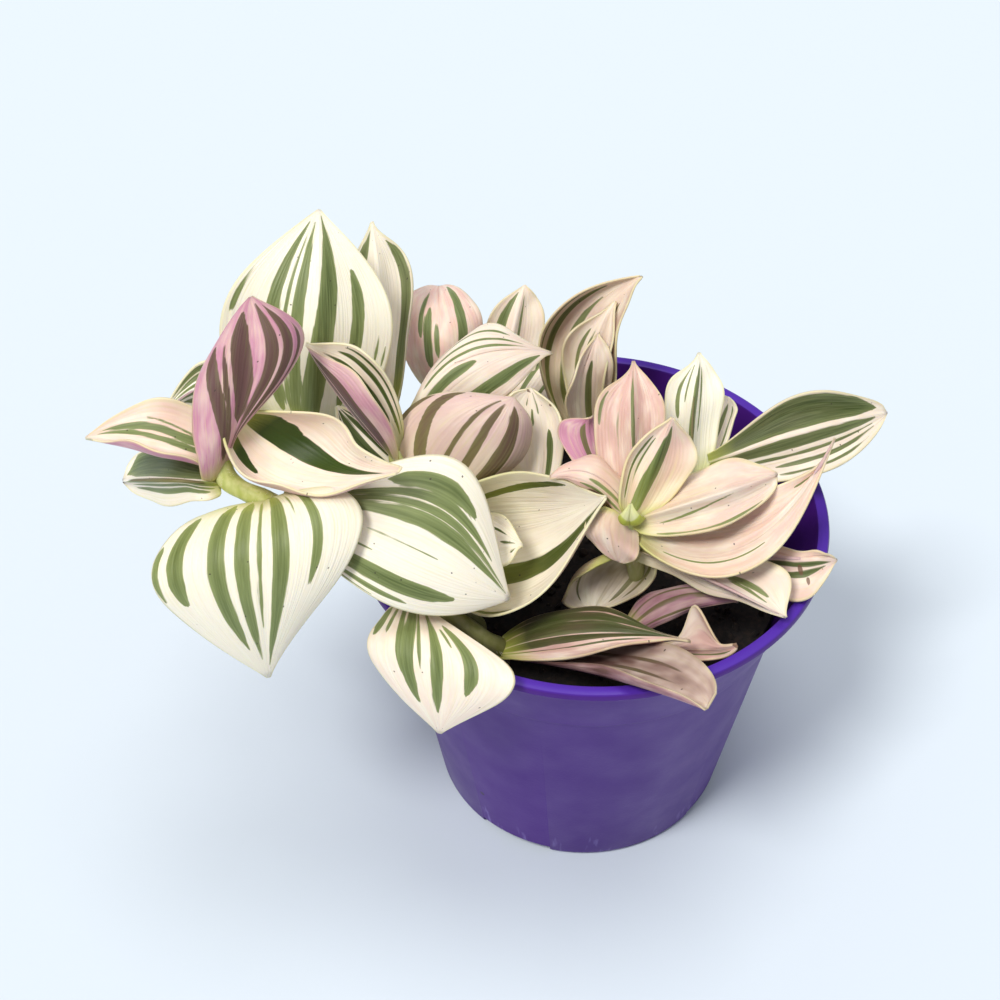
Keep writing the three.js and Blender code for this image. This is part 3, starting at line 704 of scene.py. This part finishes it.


# The value given after young is painted shade: how much a leaf is darkened where other leaves shade
# it.
def make_leaf(points, stripes=(), cup=2, peak=0.42, wave=0.6, roll=0, foot_power=0.62,
              tip_power=1.12, pink=0.1, violet=0.5, deep=0.2, young=0, painted_shade=0, dry=()):
    """The values of one leaf. Stripes are (side, half width, start, end) in tenths of the half
    width and of the length, with a second side after the first for a stripe that slants. Dry
    spots are (side, along, radius in mm). Peak is where the blade is widest, cup, wave and roll
    are in millimetres, and the powers say how fast a half narrows to its foot and to its tip.
    A shape value is one number, or one for each half."""
    foot, middle, tip, left, right = [np.array(point, float) for point in points]
    chord = tip - foot
    bow = 4 * (middle - foot - chord / 2)
    widest = foot + chord * peak + bow * peak * (1 - peak)
    span = right - left
    cups, rolls, feet, tips = [(value, value) if np.isscalar(value) else value
                               for value in (cup, roll, foot_power, tip_power)]
    values = {"foot": foot * MM, "chord": chord * MM, "bow": bow * MM, "wave": wave * MM,
              "side": span / np.linalg.norm(span), "exponent": math.log(0.5) / math.log(peak),
              "young": young, "painted_shade": painted_shade}
    for k, half in enumerate(("_left", "_right")):
        values["reach" + half] = ((left, right)[k] - widest) * MM
        values["cup" + half] = cups[k] * MM
        values["roll" + half] = rolls[k] * MM
        values["foot_power" + half] = feet[k]
        values["tip_power" + half] = tips[k]
    return {"values": values, "stripes": stripes, "dry": dry, "tint": (pink, violet, deep),
            "length": np.linalg.norm(chord) + np.linalg.norm(bow) / 4,
            "half": (np.linalg.norm(left - widest) + np.linalg.norm(right - widest)) / 2}


def store(mesh, name, values):
    """Keeps one number or one vector for each point of a mesh."""
    values = np.asarray(values, float)
    kind, field = ("FLOAT", "value") if values.ndim == 1 else ("FLOAT_VECTOR", "vector")
    mesh.attributes.new(name, kind, "POINT").data.foreach_set(field, values.ravel())


def paint_leaves(mesh, leaves):
    """Stores where each point of the blades lies on its leaf, x across and y along, and how far
    it is from a stripe and from a dry spot."""
    total = len(mesh.vertices)
    across, along, owner = np.zeros((3, total), np.float32)
    for name, kept in {"across": across, "along": along, "leaf": owner}.items():
        mesh.attributes[name].data.foreach_get("value", kept)
    stripe = np.full(total, NO_STRIPE)
    dry = np.full(total, -1.0)
    sheet, place, tint = np.zeros((3, total, 3))
    for k, leaf in enumerate(leaves):
        here = np.round(owner) == k
        x, y = across[here], along[here]
        values = leaf["values"]
        foot_power = np.where(x < 0, values["foot_power_left"], values["foot_power_right"])
        tip_power = np.where(x < 0, values["tip_power_left"], values["tip_power_right"])
        crest = np.maximum(np.sin(math.pi * y ** values["exponent"]), 0)
        share = crest ** (foot_power + (tip_power - foot_power) * y)
        width = share * leaf["half"] + CLASP_WIDTH * (1 - y) ** 4 + TIP_WIDTH * y
        gap = np.full(here.sum(), NO_STRIPE)
        for *sides, half, start, end in leaf["stripes"]:
            start, end = start / 10, end / 10
            turn = (sides[-1] - sides[0]) * np.clip((y - start) / (end - start), 0, 1)
            centre = (sides[0] + turn) / 10
            taper = np.minimum((y - start) / STRIPE_TAPER[0], (end - y) / STRIPE_TAPER[1])
            beyond = np.maximum(np.maximum(start - y, y - end), 0) * leaf["length"]
            away = np.abs(x - centre) * width - half / 10 * width * np.sqrt(np.clip(taper, 0, 1))
            gap = np.minimum(gap, away + beyond)
        stripe[here] = gap
        spot = np.full(here.sum(), -1.0)
        for side, height, radius in leaf["dry"]:
            off = np.hypot((x - side / 10) * width, (y - height / 10) * leaf["length"])
            spot = np.maximum(spot, 1 - off / radius)
        dry[here] = spot
        sheet[here] = np.stack([x * leaf["half"] * MM, y * leaf["length"] * MM,
                                np.full(here.sum(), k * SHEET_GAP)], 1)
        place[here] = np.stack([x, y, (1 - np.abs(x)) * width], 1)
        tint[here] = leaf["tint"]
    for name, values in {"stripe": stripe, "dry": dry, "sheet": sheet, "place": place,
                         "tint": tint}.items():
        store(mesh, name, values)


def grow_shoot(shoot, stem, **leaves):
    """Makes a shoot's blades and its stem, which together stand for the shoot's solid."""
    leaves = list(leaves.values())
    points = bpy.data.meshes.new(shoot + "_blades")
    points.from_pydata([(0, 0, 0)] * len(leaves), [], [])
    for name in leaves[0]["values"]:
        store(points, name, [leaf["values"][name] for leaf in leaves])
    store(points, "leaf", range(len(leaves)))
    blades = bpy.data.objects.new(shoot + "_blades", points)
    scene.collection.objects.link(blades)
    grow(blades, blade_tree, BLADE_SIZES)
    paint_leaves(blades.data, leaves)
    blades.data.materials.append(under_skin)
    wall = blades.modifiers.new("thickness", "SOLIDIFY")
    wall.thickness = LEAF_THICKNESS * MM
    wall.offset = 0
    wall.material_offset = 1

    foot, bends = stem[0], stem[1:]
    path = [(*foot, STEM_FOOT), (*foot, STEM_TOP_OF_SOIL)] + list(bends)
    path = [np.array(point) * MM for point in path]
    feet = [leaf["values"]["foot"] for leaf in leaves]
    marks = bpy.data.meshes.new(shoot + "_stem")
    marks.from_pydata(path + feet, [(k, k + 1) for k in range(len(path) - 1)], [])
    store(marks, "is_foot", [0] * len(path) + [1] * len(feet))
    rod = bpy.data.objects.new(shoot + "_stem", marks)
    scene.collection.objects.link(rod)
    grow(rod, stem_tree, STEM_SIZES)

    for piece in (blades, rod):
        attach(piece, "root")
        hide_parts(shoot)


# Left shoot: rooted near the front, it leans far out over the rim, with two large striped
# leaves in front, a folded one that stands up and shows its violet underside, a young
# channelled one, and two at the side.
grow_shoot("shoot_left", [(-27, -23), (-41, -24, 85), (-55, -22, 100), (-70, -22, 111),
                          (-80, -18, 116), (-78, -12, 127)],
    front=make_leaf(
        [(-71, -23, 113), (-70, -40, 110), (-71, -46, 82), (-50, -32, 116), (-94, -36, 104)],
        [(9.6, 0.3, 2.5, 6), (7.6, 7.8, 0.8, 1, 6.3), (4, 0.75, 0.5, 8.8), (1.8, 0.62, 0.3, 9.2),
         (0.4, 0.2, 0.3, 8), (-1.8, 0.85, 0, 9.6), (-5.5, 0.5, 0.5, 6.6), (-3.6, 0.12, 0.5, 3)],
        cup=-1.5, foot_power=(0.62, 0.45), tip_power=(1.25, 1), pink=0.14, deep=0.15, young=0.16),
    right=make_leaf(
        [(-68, -21, 111), (-42, -32, 111), (-19, -35, 95), (-31, -15, 117), (-44, -40, 99)],
        [(-6.7, -6.6, 1.05, 3.6, 7.4), (-4.8, -5, 0.55, 1.5, 8.8), (-3.75, 0.42, 0.4, 9.6),
         (-2.4, 0.75, 0.3, 9.8), (0.5, 0.7, 0.12, 3.5, 6.8), (3.3, 0.25, 2.6, 4.2),
         (6.5, 6.2, 1.25, 2, 7.9), (8.8, 8.6, 0.38, 2, 6.2), (9.7, 0.15, 2, 4.8)],
        cup=-1.5, peak=0.56, foot_power=(1.3, 0.42), tip_power=(1.2, 1), pink=0.12, deep=0.15,
        young=0.06),
    new=make_leaf(
        [(-77, -11, 127), (-64, -16, 116), (-42, -31, 129), (-56, -14, 127), (-71, -25, 121)],
        [(-5, -4.4, 2.4, 0, 2.2), (-3.6, -3, 2, 0, 3.6), (-2.4, -2.6, 1.6, 0, 9.2),
         (3, 4.4, 1.2, 0, 3.2)],
        cup=3, peak=0.36, wave=1.2, foot_power=(2, 0.6), tip_power=(0.6, 1.1), pink=0.45, deep=0.95),
    top=make_leaf(
        [(-81, -19, 116), (-75, -10, 134), (-74, 7, 144), (-63, 3, 135), (-85, -13, 132)],
        [(-3.3, 1, 1, 9.5), (-5.9, 0.9, 1.5, 9.3), (-8.2, 0.4, 3, 8), (-0.8, 2.4, 1.6, 3, 9.3),
         (1.4, 4.6, 0.4, 2, 8), (2, 7.2, 1.1, 1.2, 8.2)],
        cup=3, peak=0.62, wave=1, foot_power=(3, 0.45), tip_power=(1.15, 0.75), pink=0.5, violet=0.8,
        deep=0.7),
    left=make_leaf(
        [(-81, -16, 117), (-95, -17, 123), (-110, -11, 120), (-93, -21, 127), (-91, -8, 128)],
        [(4.4, 6.6, 0.25, 1.5, 6), (3, 5.8, 0.9, 0.5, 9.5), (1, 3.8, 0.6, 0.5, 9.3), (-6, 0.8, 0, 4)],
        cup=(1.3, 2), foot_power=(0.6, 0.35), tip_power=(1.6, 1), pink=0.6, violet=0.9),
    low=make_leaf(
        [(-81, -19, 114), (-92, -22, 118), (-106, -4, 100), (-92, -20, 109), (-95, -7, 114)],
        [(5.6, 4, 0, 9.8), (-1, 1.6, 0, 9.7), (-4, 0.8, 0.5, 9.6), (-6.4, 0.9, 1, 9.4)],
        peak=0.6, foot_power=0.5, tip_power=0.45, pink=0.2, deep=0.1),
)

# Tall shoot: rooted left of the middle, it rises behind the left one and carries the highest
# leaf, striped green on white, with one behind it, a side leaf and two on the far side.
grow_shoot("shoot_tall", [(-26, 12), (-42, 15, 85), (-54, 16, 93), (-65, 13, 99), (-75, 8, 106)],
    tall=make_leaf(
        [(-65, 12, 98), (-62, 18, 126), (-62, 41, 142), (-84, 20, 124), (-46, 23, 121)],
        [(-9.2, 0.3, 5, 7.3), (-4.6, -5.6, 0.75, 1, 9.6), (-3.4, -3.8, 0.22, 1, 9.4),
         (-2.4, -2.1, 0.7, 0.5, 9.6), (-0.8, 3, 1.5, 0, 9.8), (4.6, 6.5, 0.85, 1, 7.4),
         (8.3, 8.4, 0.25, 2.8, 4.2), (9.3, 0.2, 2.6, 3.7)],
        foot_power=(0.62, 0.4), tip_power=(0.95, 1.05), pink=0.08, violet=0.4, deep=0.15, young=0.12),
    behind=make_leaf(
        [(-51, 17, 92), (-49, 32, 116), (-51, 50, 132), (-58, 33, 116), (-42, 40, 119)],
        [(-7, -6, 2, 7.2, 9.6), (8.5, 1.05, 0.3, 8.4), (-3, 0.5, 1, 6)],
        foot_power=(0.62, 0.35), tip_power=(1.12, 1.45), pink=0.1, violet=0.4, painted_shade=0.1),
    side=make_leaf(
        [(-75, 8, 106), (-84, 8, 118), (-97, 6, 111), (-86, 8, 107), (-85, 12, 121)],
        [(8.5, 1, 2, 9), (5.5, 1.2, 2, 9), (2, 1, 2, 9.5), (-2, 1.2, 1, 9), (-5.5, 1, 2, 8)]),
    rear=make_leaf(
        [(-66, 14, 99), (-73, 32, 107), (-79, 47, 98), (-84, 26, 101), (-63, 36, 101)],
        [(-5, 0.8, 0.5, 8), (-1, 0.9, 0.3, 9), (3.5, 0.6, 1, 8), (7, 0.5, 2, 6)],
        cup=-1.5, pink=0.15),
    under=make_leaf(
        [(-54, 17, 93), (-56, 35, 97), (-57, 50, 84), (-65, 33, 92), (-47, 35, 91)],
        [(-6, 0.9, 1, 8), (-2, 0.6, 0.3, 9), (1.5, 0.9, 0.3, 9), (6, 0.8, 1, 7)],
        cup=-1, pink=0.3),
)

# Middle shoot: rooted in the middle of the pot, with arched leaves that cross over each
# other, a wide bowl-shaped one that opens towards the front, and one in shade behind.
grow_shoot("shoot_middle", [(-20, -4), (-30, -8, 83), (-37, -10, 92), (-41, -5, 100),
                            (-44, 1, 104), (-42, 9, 105)],
    fold=make_leaf(
        [(-44, -2, 104), (-55, 3, 117), (-64, 13, 126), (-49, 0, 124), (-48, 6, 126)],
        [(-1.8, 1, 0.5, 9.2), (-4.6, 1.4, 0.5, 9.4), (3, 0.25, 1, 9), (5, 0.4, 1.5, 8.6),
         (7.2, 7.4, 0.5, 0.5, 7.5), (9, 0.3, 0.5, 7)],
        pink=0.3, violet=0.7, deep=0.7),
    big=make_leaf(
        [(-38, -8, 96), (-27, -3, 112), (-18, 3, 119), (-16, 1, 104), (-42, 7, 111)],
        [(9.6, 0.5, 0.5, 6.5), (2.8, 9, 0.9, 1, 7.8), (0.8, 2.4, 0.3, 1, 9), (-1.6, 0.1, 0.55, 1, 9),
         (-5, -4.4, 1.3, 1, 9)],
        cup=3, pink=0.4, violet=0.38, deep=0.55, young=0.2),
    over=make_leaf(
        [(-42, 10, 104), (-30, 15, 119), (-9, 25, 113), (-28, 26, 118), (-21, 12, 111)],
        [(-6.4, -7, 0.3, 2, 7.6), (-3.4, -4.6, 0.35, 2.5, 8.6), (-1, -2.6, 0.4, 2, 9),
         (1.6, 1.1, 0.8, 1, 5.8), (6.3, 7.2, 1.2, 1, 9)],
        cup=-1, tip_power=(1.5, 1.12), pink=0.45),
    bowl=make_leaf(
        [(-37, -11, 92), (-18, -12, 91), (2, -18, 109), (-17, -8, 106), (-21, -36, 91)],
        [(-5.8, -9, 0.6, 2, 7.3), (3, 4, 1, 0.5, 10), (9.3, 0.4, 1, 5)],
        cup=(2, 5), pink=0.2, violet=0.2, deep=0.8, young=0.42, painted_shade=0.14),
    tip=make_leaf(
        [(-37, -10, 94), (-28, -16, 100), (-16, -23, 99), (-23, -15, 101), (-23, -26, 96)],
        [(-1, 0.9, 7, 8.6), (4, 0.5, 7.3, 9.2), (8, 0.6, 7.8, 9)],
        cup=1, pink=0.2, violet=0.2, deep=0.9, young=0.9),
    # This leaf's wide, deep green stripes are partly its own and partly painted shade, as it lies
    # behind the others.
    shade=make_leaf(
        [(-42, -2, 100), (-50, 3, 105), (-58, 9, 111), (-54, -2, 104), (-45, 7, 106)],
        [(-6, 1.4, 0, 9.4), (-2.2, 1.6, 0, 9.6), (2.2, 1.6, 0, 9.6), (6.2, 1.4, 0, 9.4)],
        deep=0.7),
)

# Back shoot: rooted near the far rim. A pink leaf and a white one stand up from it, and two
# more droop over the rim behind.
grow_shoot("shoot_back", [(-12, 26), (-20, 33, 84), (-34, 33, 92)],
    pink=make_leaf(
        [(-34, 33, 92), (-35, 35, 110), (-36, 56, 108), (-45, 43, 107), (-26, 42, 108)],
        [(-4.2, 0.5, 4, 8.7), (-2.6, 0.8, 2, 7), (-0.8, 0.4, 3, 6), (4, 6, 1.1, 2, 9.2)],
        cup=-1, tip_power=0.7, pink=0.75, violet=0.35),
    white=make_leaf(
        [(-21, 34, 85), (-18, 44, 102), (-15, 54, 110), (-25, 45, 100), (-11, 47, 100)],
        [(-5.5, 1.8, 2, 9), (2.8, 0.6, 4, 8.6)],
        peak=0.34, pink=0.4),
    rear=make_leaf(
        [(-30, 34, 91), (-31, 52, 95), (-32, 66, 84), (-41, 50, 90), (-21, 52, 90)],
        [(-6, 0.7, 1, 7), (-2.5, 0.8, 0.3, 9), (1, 0.5, 0.5, 9), (5, 1, 0.8, 8)],
        cup=-1.5, pink=0.4),
    side=make_leaf(
        [(-20, 33, 84), (-10, 46, 94), (0, 58, 88), (-16, 52, 90), (-3, 44, 91)],
        [(-4, 0.9, 0.5, 8.5), (0.5, 0.7, 0.3, 9), (5.5, 0.6, 1, 7.5)],
        cup=-1, pink=0.3),
)

# Curled shoot: a short stem whose one long leaf folds over at its tip, with two younger
# ones rolled up inside it.
grow_shoot("shoot_curl", [(7, 16), (3, 20, 80), (0, 21, 90)],
    curl=make_leaf(
        [(1, 21, 87), (-2, 34, 106), (12, 41, 123), (-11, 32, 111), (6, 29, 112)],
        [(-8, 0.35, 1, 8.5), (-5.4, 0.8, 0.5, 8.8), (-1.8, 0.5, 0.5, 8.2), (0.6, 0.7, 0.5, 7),
         (4.5, 0.6, 1, 8)],
        cup=(5, 2), tip_power=(0.9, 0.8), pink=0.5, deep=0.3, young=0.3, painted_shade=0.22),
    third=make_leaf(
        [(1, 20, 88), (-1, 26, 106), (6, 38, 118), (-6, 30, 110), (4, 26, 110)],
        [(-4.4, 0.9, 0, 8), (-1.2, 0.5, 0, 8), (3.5, 0.8, 0, 7)],
        cup=3, peak=0.55, foot_power=(0.9, 0.62), tip_power=(1.8, 1.12), pink=0.4, deep=0.4, young=0.3,
        painted_shade=0.25),
    inner=make_leaf(
        [(0, 20, 90), (-2, 22, 105), (2, 31, 114), (-5, 17, 106), (5, 25, 108)],
        [(2.6, 2.4, 1.2, 1, 7.2)],
        cup=1, pink=0.5, deep=0.6, young=0.2, painted_shade=0.25),
)

# Core shoot: a short stem with one leaf, dry at its edge, that stands between the middle
# shoot and the rosette.
grow_shoot("shoot_core", [(-8, 3), (-11, 0, 82), (-13, -2, 92)],
    core=make_leaf(
        [(-13, -2, 91), (-12, 5, 104), (-14, 13, 113), (-20, 8, 109), (-7, 5, 106)],
        [(-4, 0.5, 7.3, 9), (-1.6, 0.5, 5.8, 7.6), (0.4, 0.4, 7.3, 9.6), (4.2, 3.4, 1.4, 1, 5.5)],
        pink=0.3, deep=0.4, dry=[(-6, 9.4, 1.2), (9, 7.5, 1)]),
)

# Rosette: a young upright shoot seen from above, with pink leaves all round its stem and a
# closed yellow-green bud at its top.
grow_shoot("shoot_rosette", [(10, -10), (10, -18, 84), (8, -20, 97), (8, -18, 107)],
    up=make_leaf(
        [(8, -17, 102), (8, -5, 116), (9, 14, 120), (0, 0, 115), (15, 1, 115)],
        [(1, -0.6, 0.6, 3, 9.4), (-9, 0.3, 4, 6.8), (-4.5, 0.15, 3, 8)],
        tip_power=(1.6, 1.3), pink=0.85, young=0.05, painted_shade=0.22),
    small=make_leaf(
        [(8, -21, 106), (12, -15, 114), (16, -9, 124), (7, -14, 117), (21, -12, 113)],
        [(-1.6, 2.2, 1.9, 0.3, 9.2), (-7, 0.4, 1, 7.5), (-4.8, 0.25, 1, 7.5)],
        pink=0.7, deep=0.5, young=0.32),
    violet=make_leaf(
        [(7, -18, 102), (0, -2, 106), (-1, 4, 112), (2, 4, 107), (-7, 1, 108)],
        [(2, 1.2, 2, 9)],
        cup=1, pink=0.9, violet=1),
    left=make_leaf(
        [(7, -18, 105), (-1, -13, 111), (-10, -11, 108), (0, -14, 107), (1, -8, 110)],
        [(-2.2, 0.9, 0.5, 5.2), (-6, 1, 0.8, 6.2)],
        cup=-1, foot_power=(0.62, 0.35), pink=0.8, young=0.2, painted_shade=0.1),
    drop=make_leaf(
        [(4, -18, 105), (3, -22, 102), (5, -24, 95), (9, -24, 99), (-2, -20, 101)],
        cup=0, tip_power=0.75, pink=0.7, young=0.2, painted_shade=0.15),
    shelf=make_leaf(
        [(8, -20, 104), (24, -20, 111), (40, -10, 108), (26, -9, 110), (26, -24, 106)],
        [(5, 1, 0.35, 1.2, 6.8), (9.3, 0.35, 1, 8.5)],
        peak=0.48, tip_power=(0.95, 0.5), pink=0.6, young=0.2, painted_shade=0.08),
    long=make_leaf(
        [(9, -20, 101), (32, -23, 101), (53, -3, 112), (37, -13, 106), (31, -30, 98)],
        [(-8, 0.5, 6.3, 8), (4, 0.25, 1, 6)],
        pink=0.68, young=0.16, painted_shade=0.05),
    low=make_leaf(
        [(8, -21, 96), (23, -29, 95), (41, -36, 90), (38, -24, 95), (23, -27, 90)],
        [(-1.8, -2, 0.8, 0.8, 3.5), (-3.6, -5, 0.8, 4.5, 8), (-2.8, -3, 0.4, 5.5, 8.5),
         (0.2, 0.3, 0.5, 4)],
        pink=0.4, young=0.25, painted_shade=0.1, dry=[(7.5, 7, 2), (6, 6.2, 1.6)]),
    bowl=make_leaf(
        [(8, -21, 94), (3, -20, 85), (0, -25, 80), (12, -23, 86), (-6, -25, 86)],
        [(-5.5, 0.8, 1, 8.5), (-8, 0.4, 1.5, 7.5), (5, 0.3, 1, 8)],
        cup=3, foot_power=(0.62, 0.3), tip_power=0.8, pink=0.15, deep=0.5, young=0.3, painted_shade=0.5),
    bud=make_leaf(
        [(8, -20, 104), (7, -23, 106), (7, -22, 111), (5, -23, 108), (9, -23, 108)],
        cup=-0.8, wave=0, pink=0, young=5),
)

# Right shoot: a long green leaf that points over the right rim, a pale upright one beside
# it, and a small one behind.
grow_shoot("shoot_right", [(22, 4), (23, 2, 84), (24, 3, 97)],
    green=make_leaf(
        [(25, 5, 96), (48, 8, 104), (70, 20, 99), (48, 15, 109), (52, 1, 98)],
        [(-5.2, 4.3, 0, 9.4), (1.6, 1.2, 0, 9.3), (4.2, 0.4, 2, 9), (6.3, 0.5, 3, 9),
         (8.4, 0.25, 3, 8.5)],
        peak=0.48, foot_power=(2.2, 0.62), tip_power=(0.62, 0.9), pink=0.3, deep=0.4, painted_shade=0.14),
    white=make_leaf(
        [(23, 1, 96), (23, 9, 108), (25, 24, 114), (17, 14, 108), (30, 16, 107)],
        [(-1.4, 2, 1.3, 1, 9.2), (3.4, 4.4, 0.4, 3, 8.6), (-6.6, 0.6, 3.5, 9), (-4, 0.35, 5.5, 9)],
        tip_power=(1.4, 1.12), pink=0.05, young=0.12),
    back=make_leaf(
        [(24, 4, 93), (29, 15, 98), (33, 22, 102), (26, 22, 100), (33, 15, 100)],
        [(-4, 1, 1, 9), (2, 1.2, 0.5, 9), (7, 0.6, 2, 8)],
        cup=1, pink=0.2),
)

# Rim shoot: a short stem with one leaf, spotted with brown where it has dried, that rests
# just above the right rim.
grow_shoot("shoot_rim", [(28, -6), (31, -10, 80), (34, -14, 88)],
    rim=make_leaf(
        [(34, -14, 87), (44, -22, 94), (54, -20, 91), (46, -20, 94), (44, -29, 88)],
        [(1.6, 1.2, 0.6, 2, 9.3), (4.2, 3.4, 0.7, 2, 8.6), (-3, 0.4, 1, 6)],
        pink=0.6, deep=0.6, painted_shade=0.1,
        dry=[(-4.5, 4.2, 2.2), (-2.5, 6, 2.6), (2.6, 5.4, 1.7), (6, 6.2, 1.3), (-5.5, 2.5, 2)]),
)

# Low shoot: the shortest, rooted by the front rim, with an arched leaf and a small curled
# one, both in the shade of the rosette.
grow_shoot("shoot_low", [(10, -27), (8, -29, 77)],
    arch=make_leaf(
        [(8, -28, 76), (19, -27, 86), (32, -26, 84), (17, -29, 82), (15, -22, 83)],
        [(0.5, 0.7, 0, 8.5), (4.5, 0.4, 0, 7), (-6, 0.6, 1, 7)],
        cup=1, foot_power=1, pink=0.5, violet=0.8, painted_shade=0.4),
    small=make_leaf(
        [(9, -30, 75), (21, -38, 82), (30, -42, 88), (22, -31, 88), (24, -41, 82)],
        [(6, 1, 2, 9)],
        cup=1, peak=0.58, foot_power=(6, 0.62), tip_power=(8, 0.7), pink=0.9, violet=0.7, painted_shade=0.35,
        dry=[(0, 10, 2.5)]),
)

# Front shoot: its stem lies low along the front rim. A striped leaf hangs over the rim, and
# a dark one and a tongue-like one lie along it.
grow_shoot("shoot_front", [(-21, -32), (-24, -34, 80), (-31, -32, 85), (-38, -31, 88)],
    over=make_leaf(
        [(-38, -31, 88), (-35, -48, 90), (-34, -55, 74), (-18, -54, 91), (-49, -42, 86)],
        [(9.2, 0.7, 1, 4.3), (7.4, 0.35, 1, 3.9), (5.6, 4.6, 0.55, 0.8, 6.8),
         (3.3, 4.1, 0.95, 0.6, 8.2), (2, 0.25, 1, 6), (-1, 0.2, 0.9, 0.5, 8.8), (-3, 0.35, 2.3, 4),
         (-5, -4.6, 0.9, 2, 7.2)],
        cup=-1, peak=0.55, foot_power=(1.6, 0.45), tip_power=1.15, pink=0.35, young=0.1),
    dark=make_leaf(
        [(-21, -34, 76), (-2, -39, 88), (20, -41, 88), (-4, -28, 84), (1, -44, 87)],
        [(-8.4, 1.4, 0, 9.3), (-5.2, 1.5, 0, 9.5), (-2, 1.5, 0, 9.6), (1.7, 1.7, 0, 9.5),
         (5, 0.3, 0, 8)],
        cup=-1, roll=(0, 4), foot_power=(0.62, 1.2), tip_power=(2.2, 1.12), pink=0.8, violet=0.7,
        deep=0.8, painted_shade=0.3),
    tongue=make_leaf(
        [(-21, -34, 75), (2, -49, 86), (21, -65, 95), (15, -44, 90), (6, -53, 92)],
        [(-6, 0.35, 0, 7.5), (-3.2, 0.3, 0, 8), (-1, 0.25, 0, 7)],
        cup=1, peak=0.6, tip_power=(0.5, 0.8), pink=0.5, violet=0.8, deep=0.8, painted_shade=0.8),
)
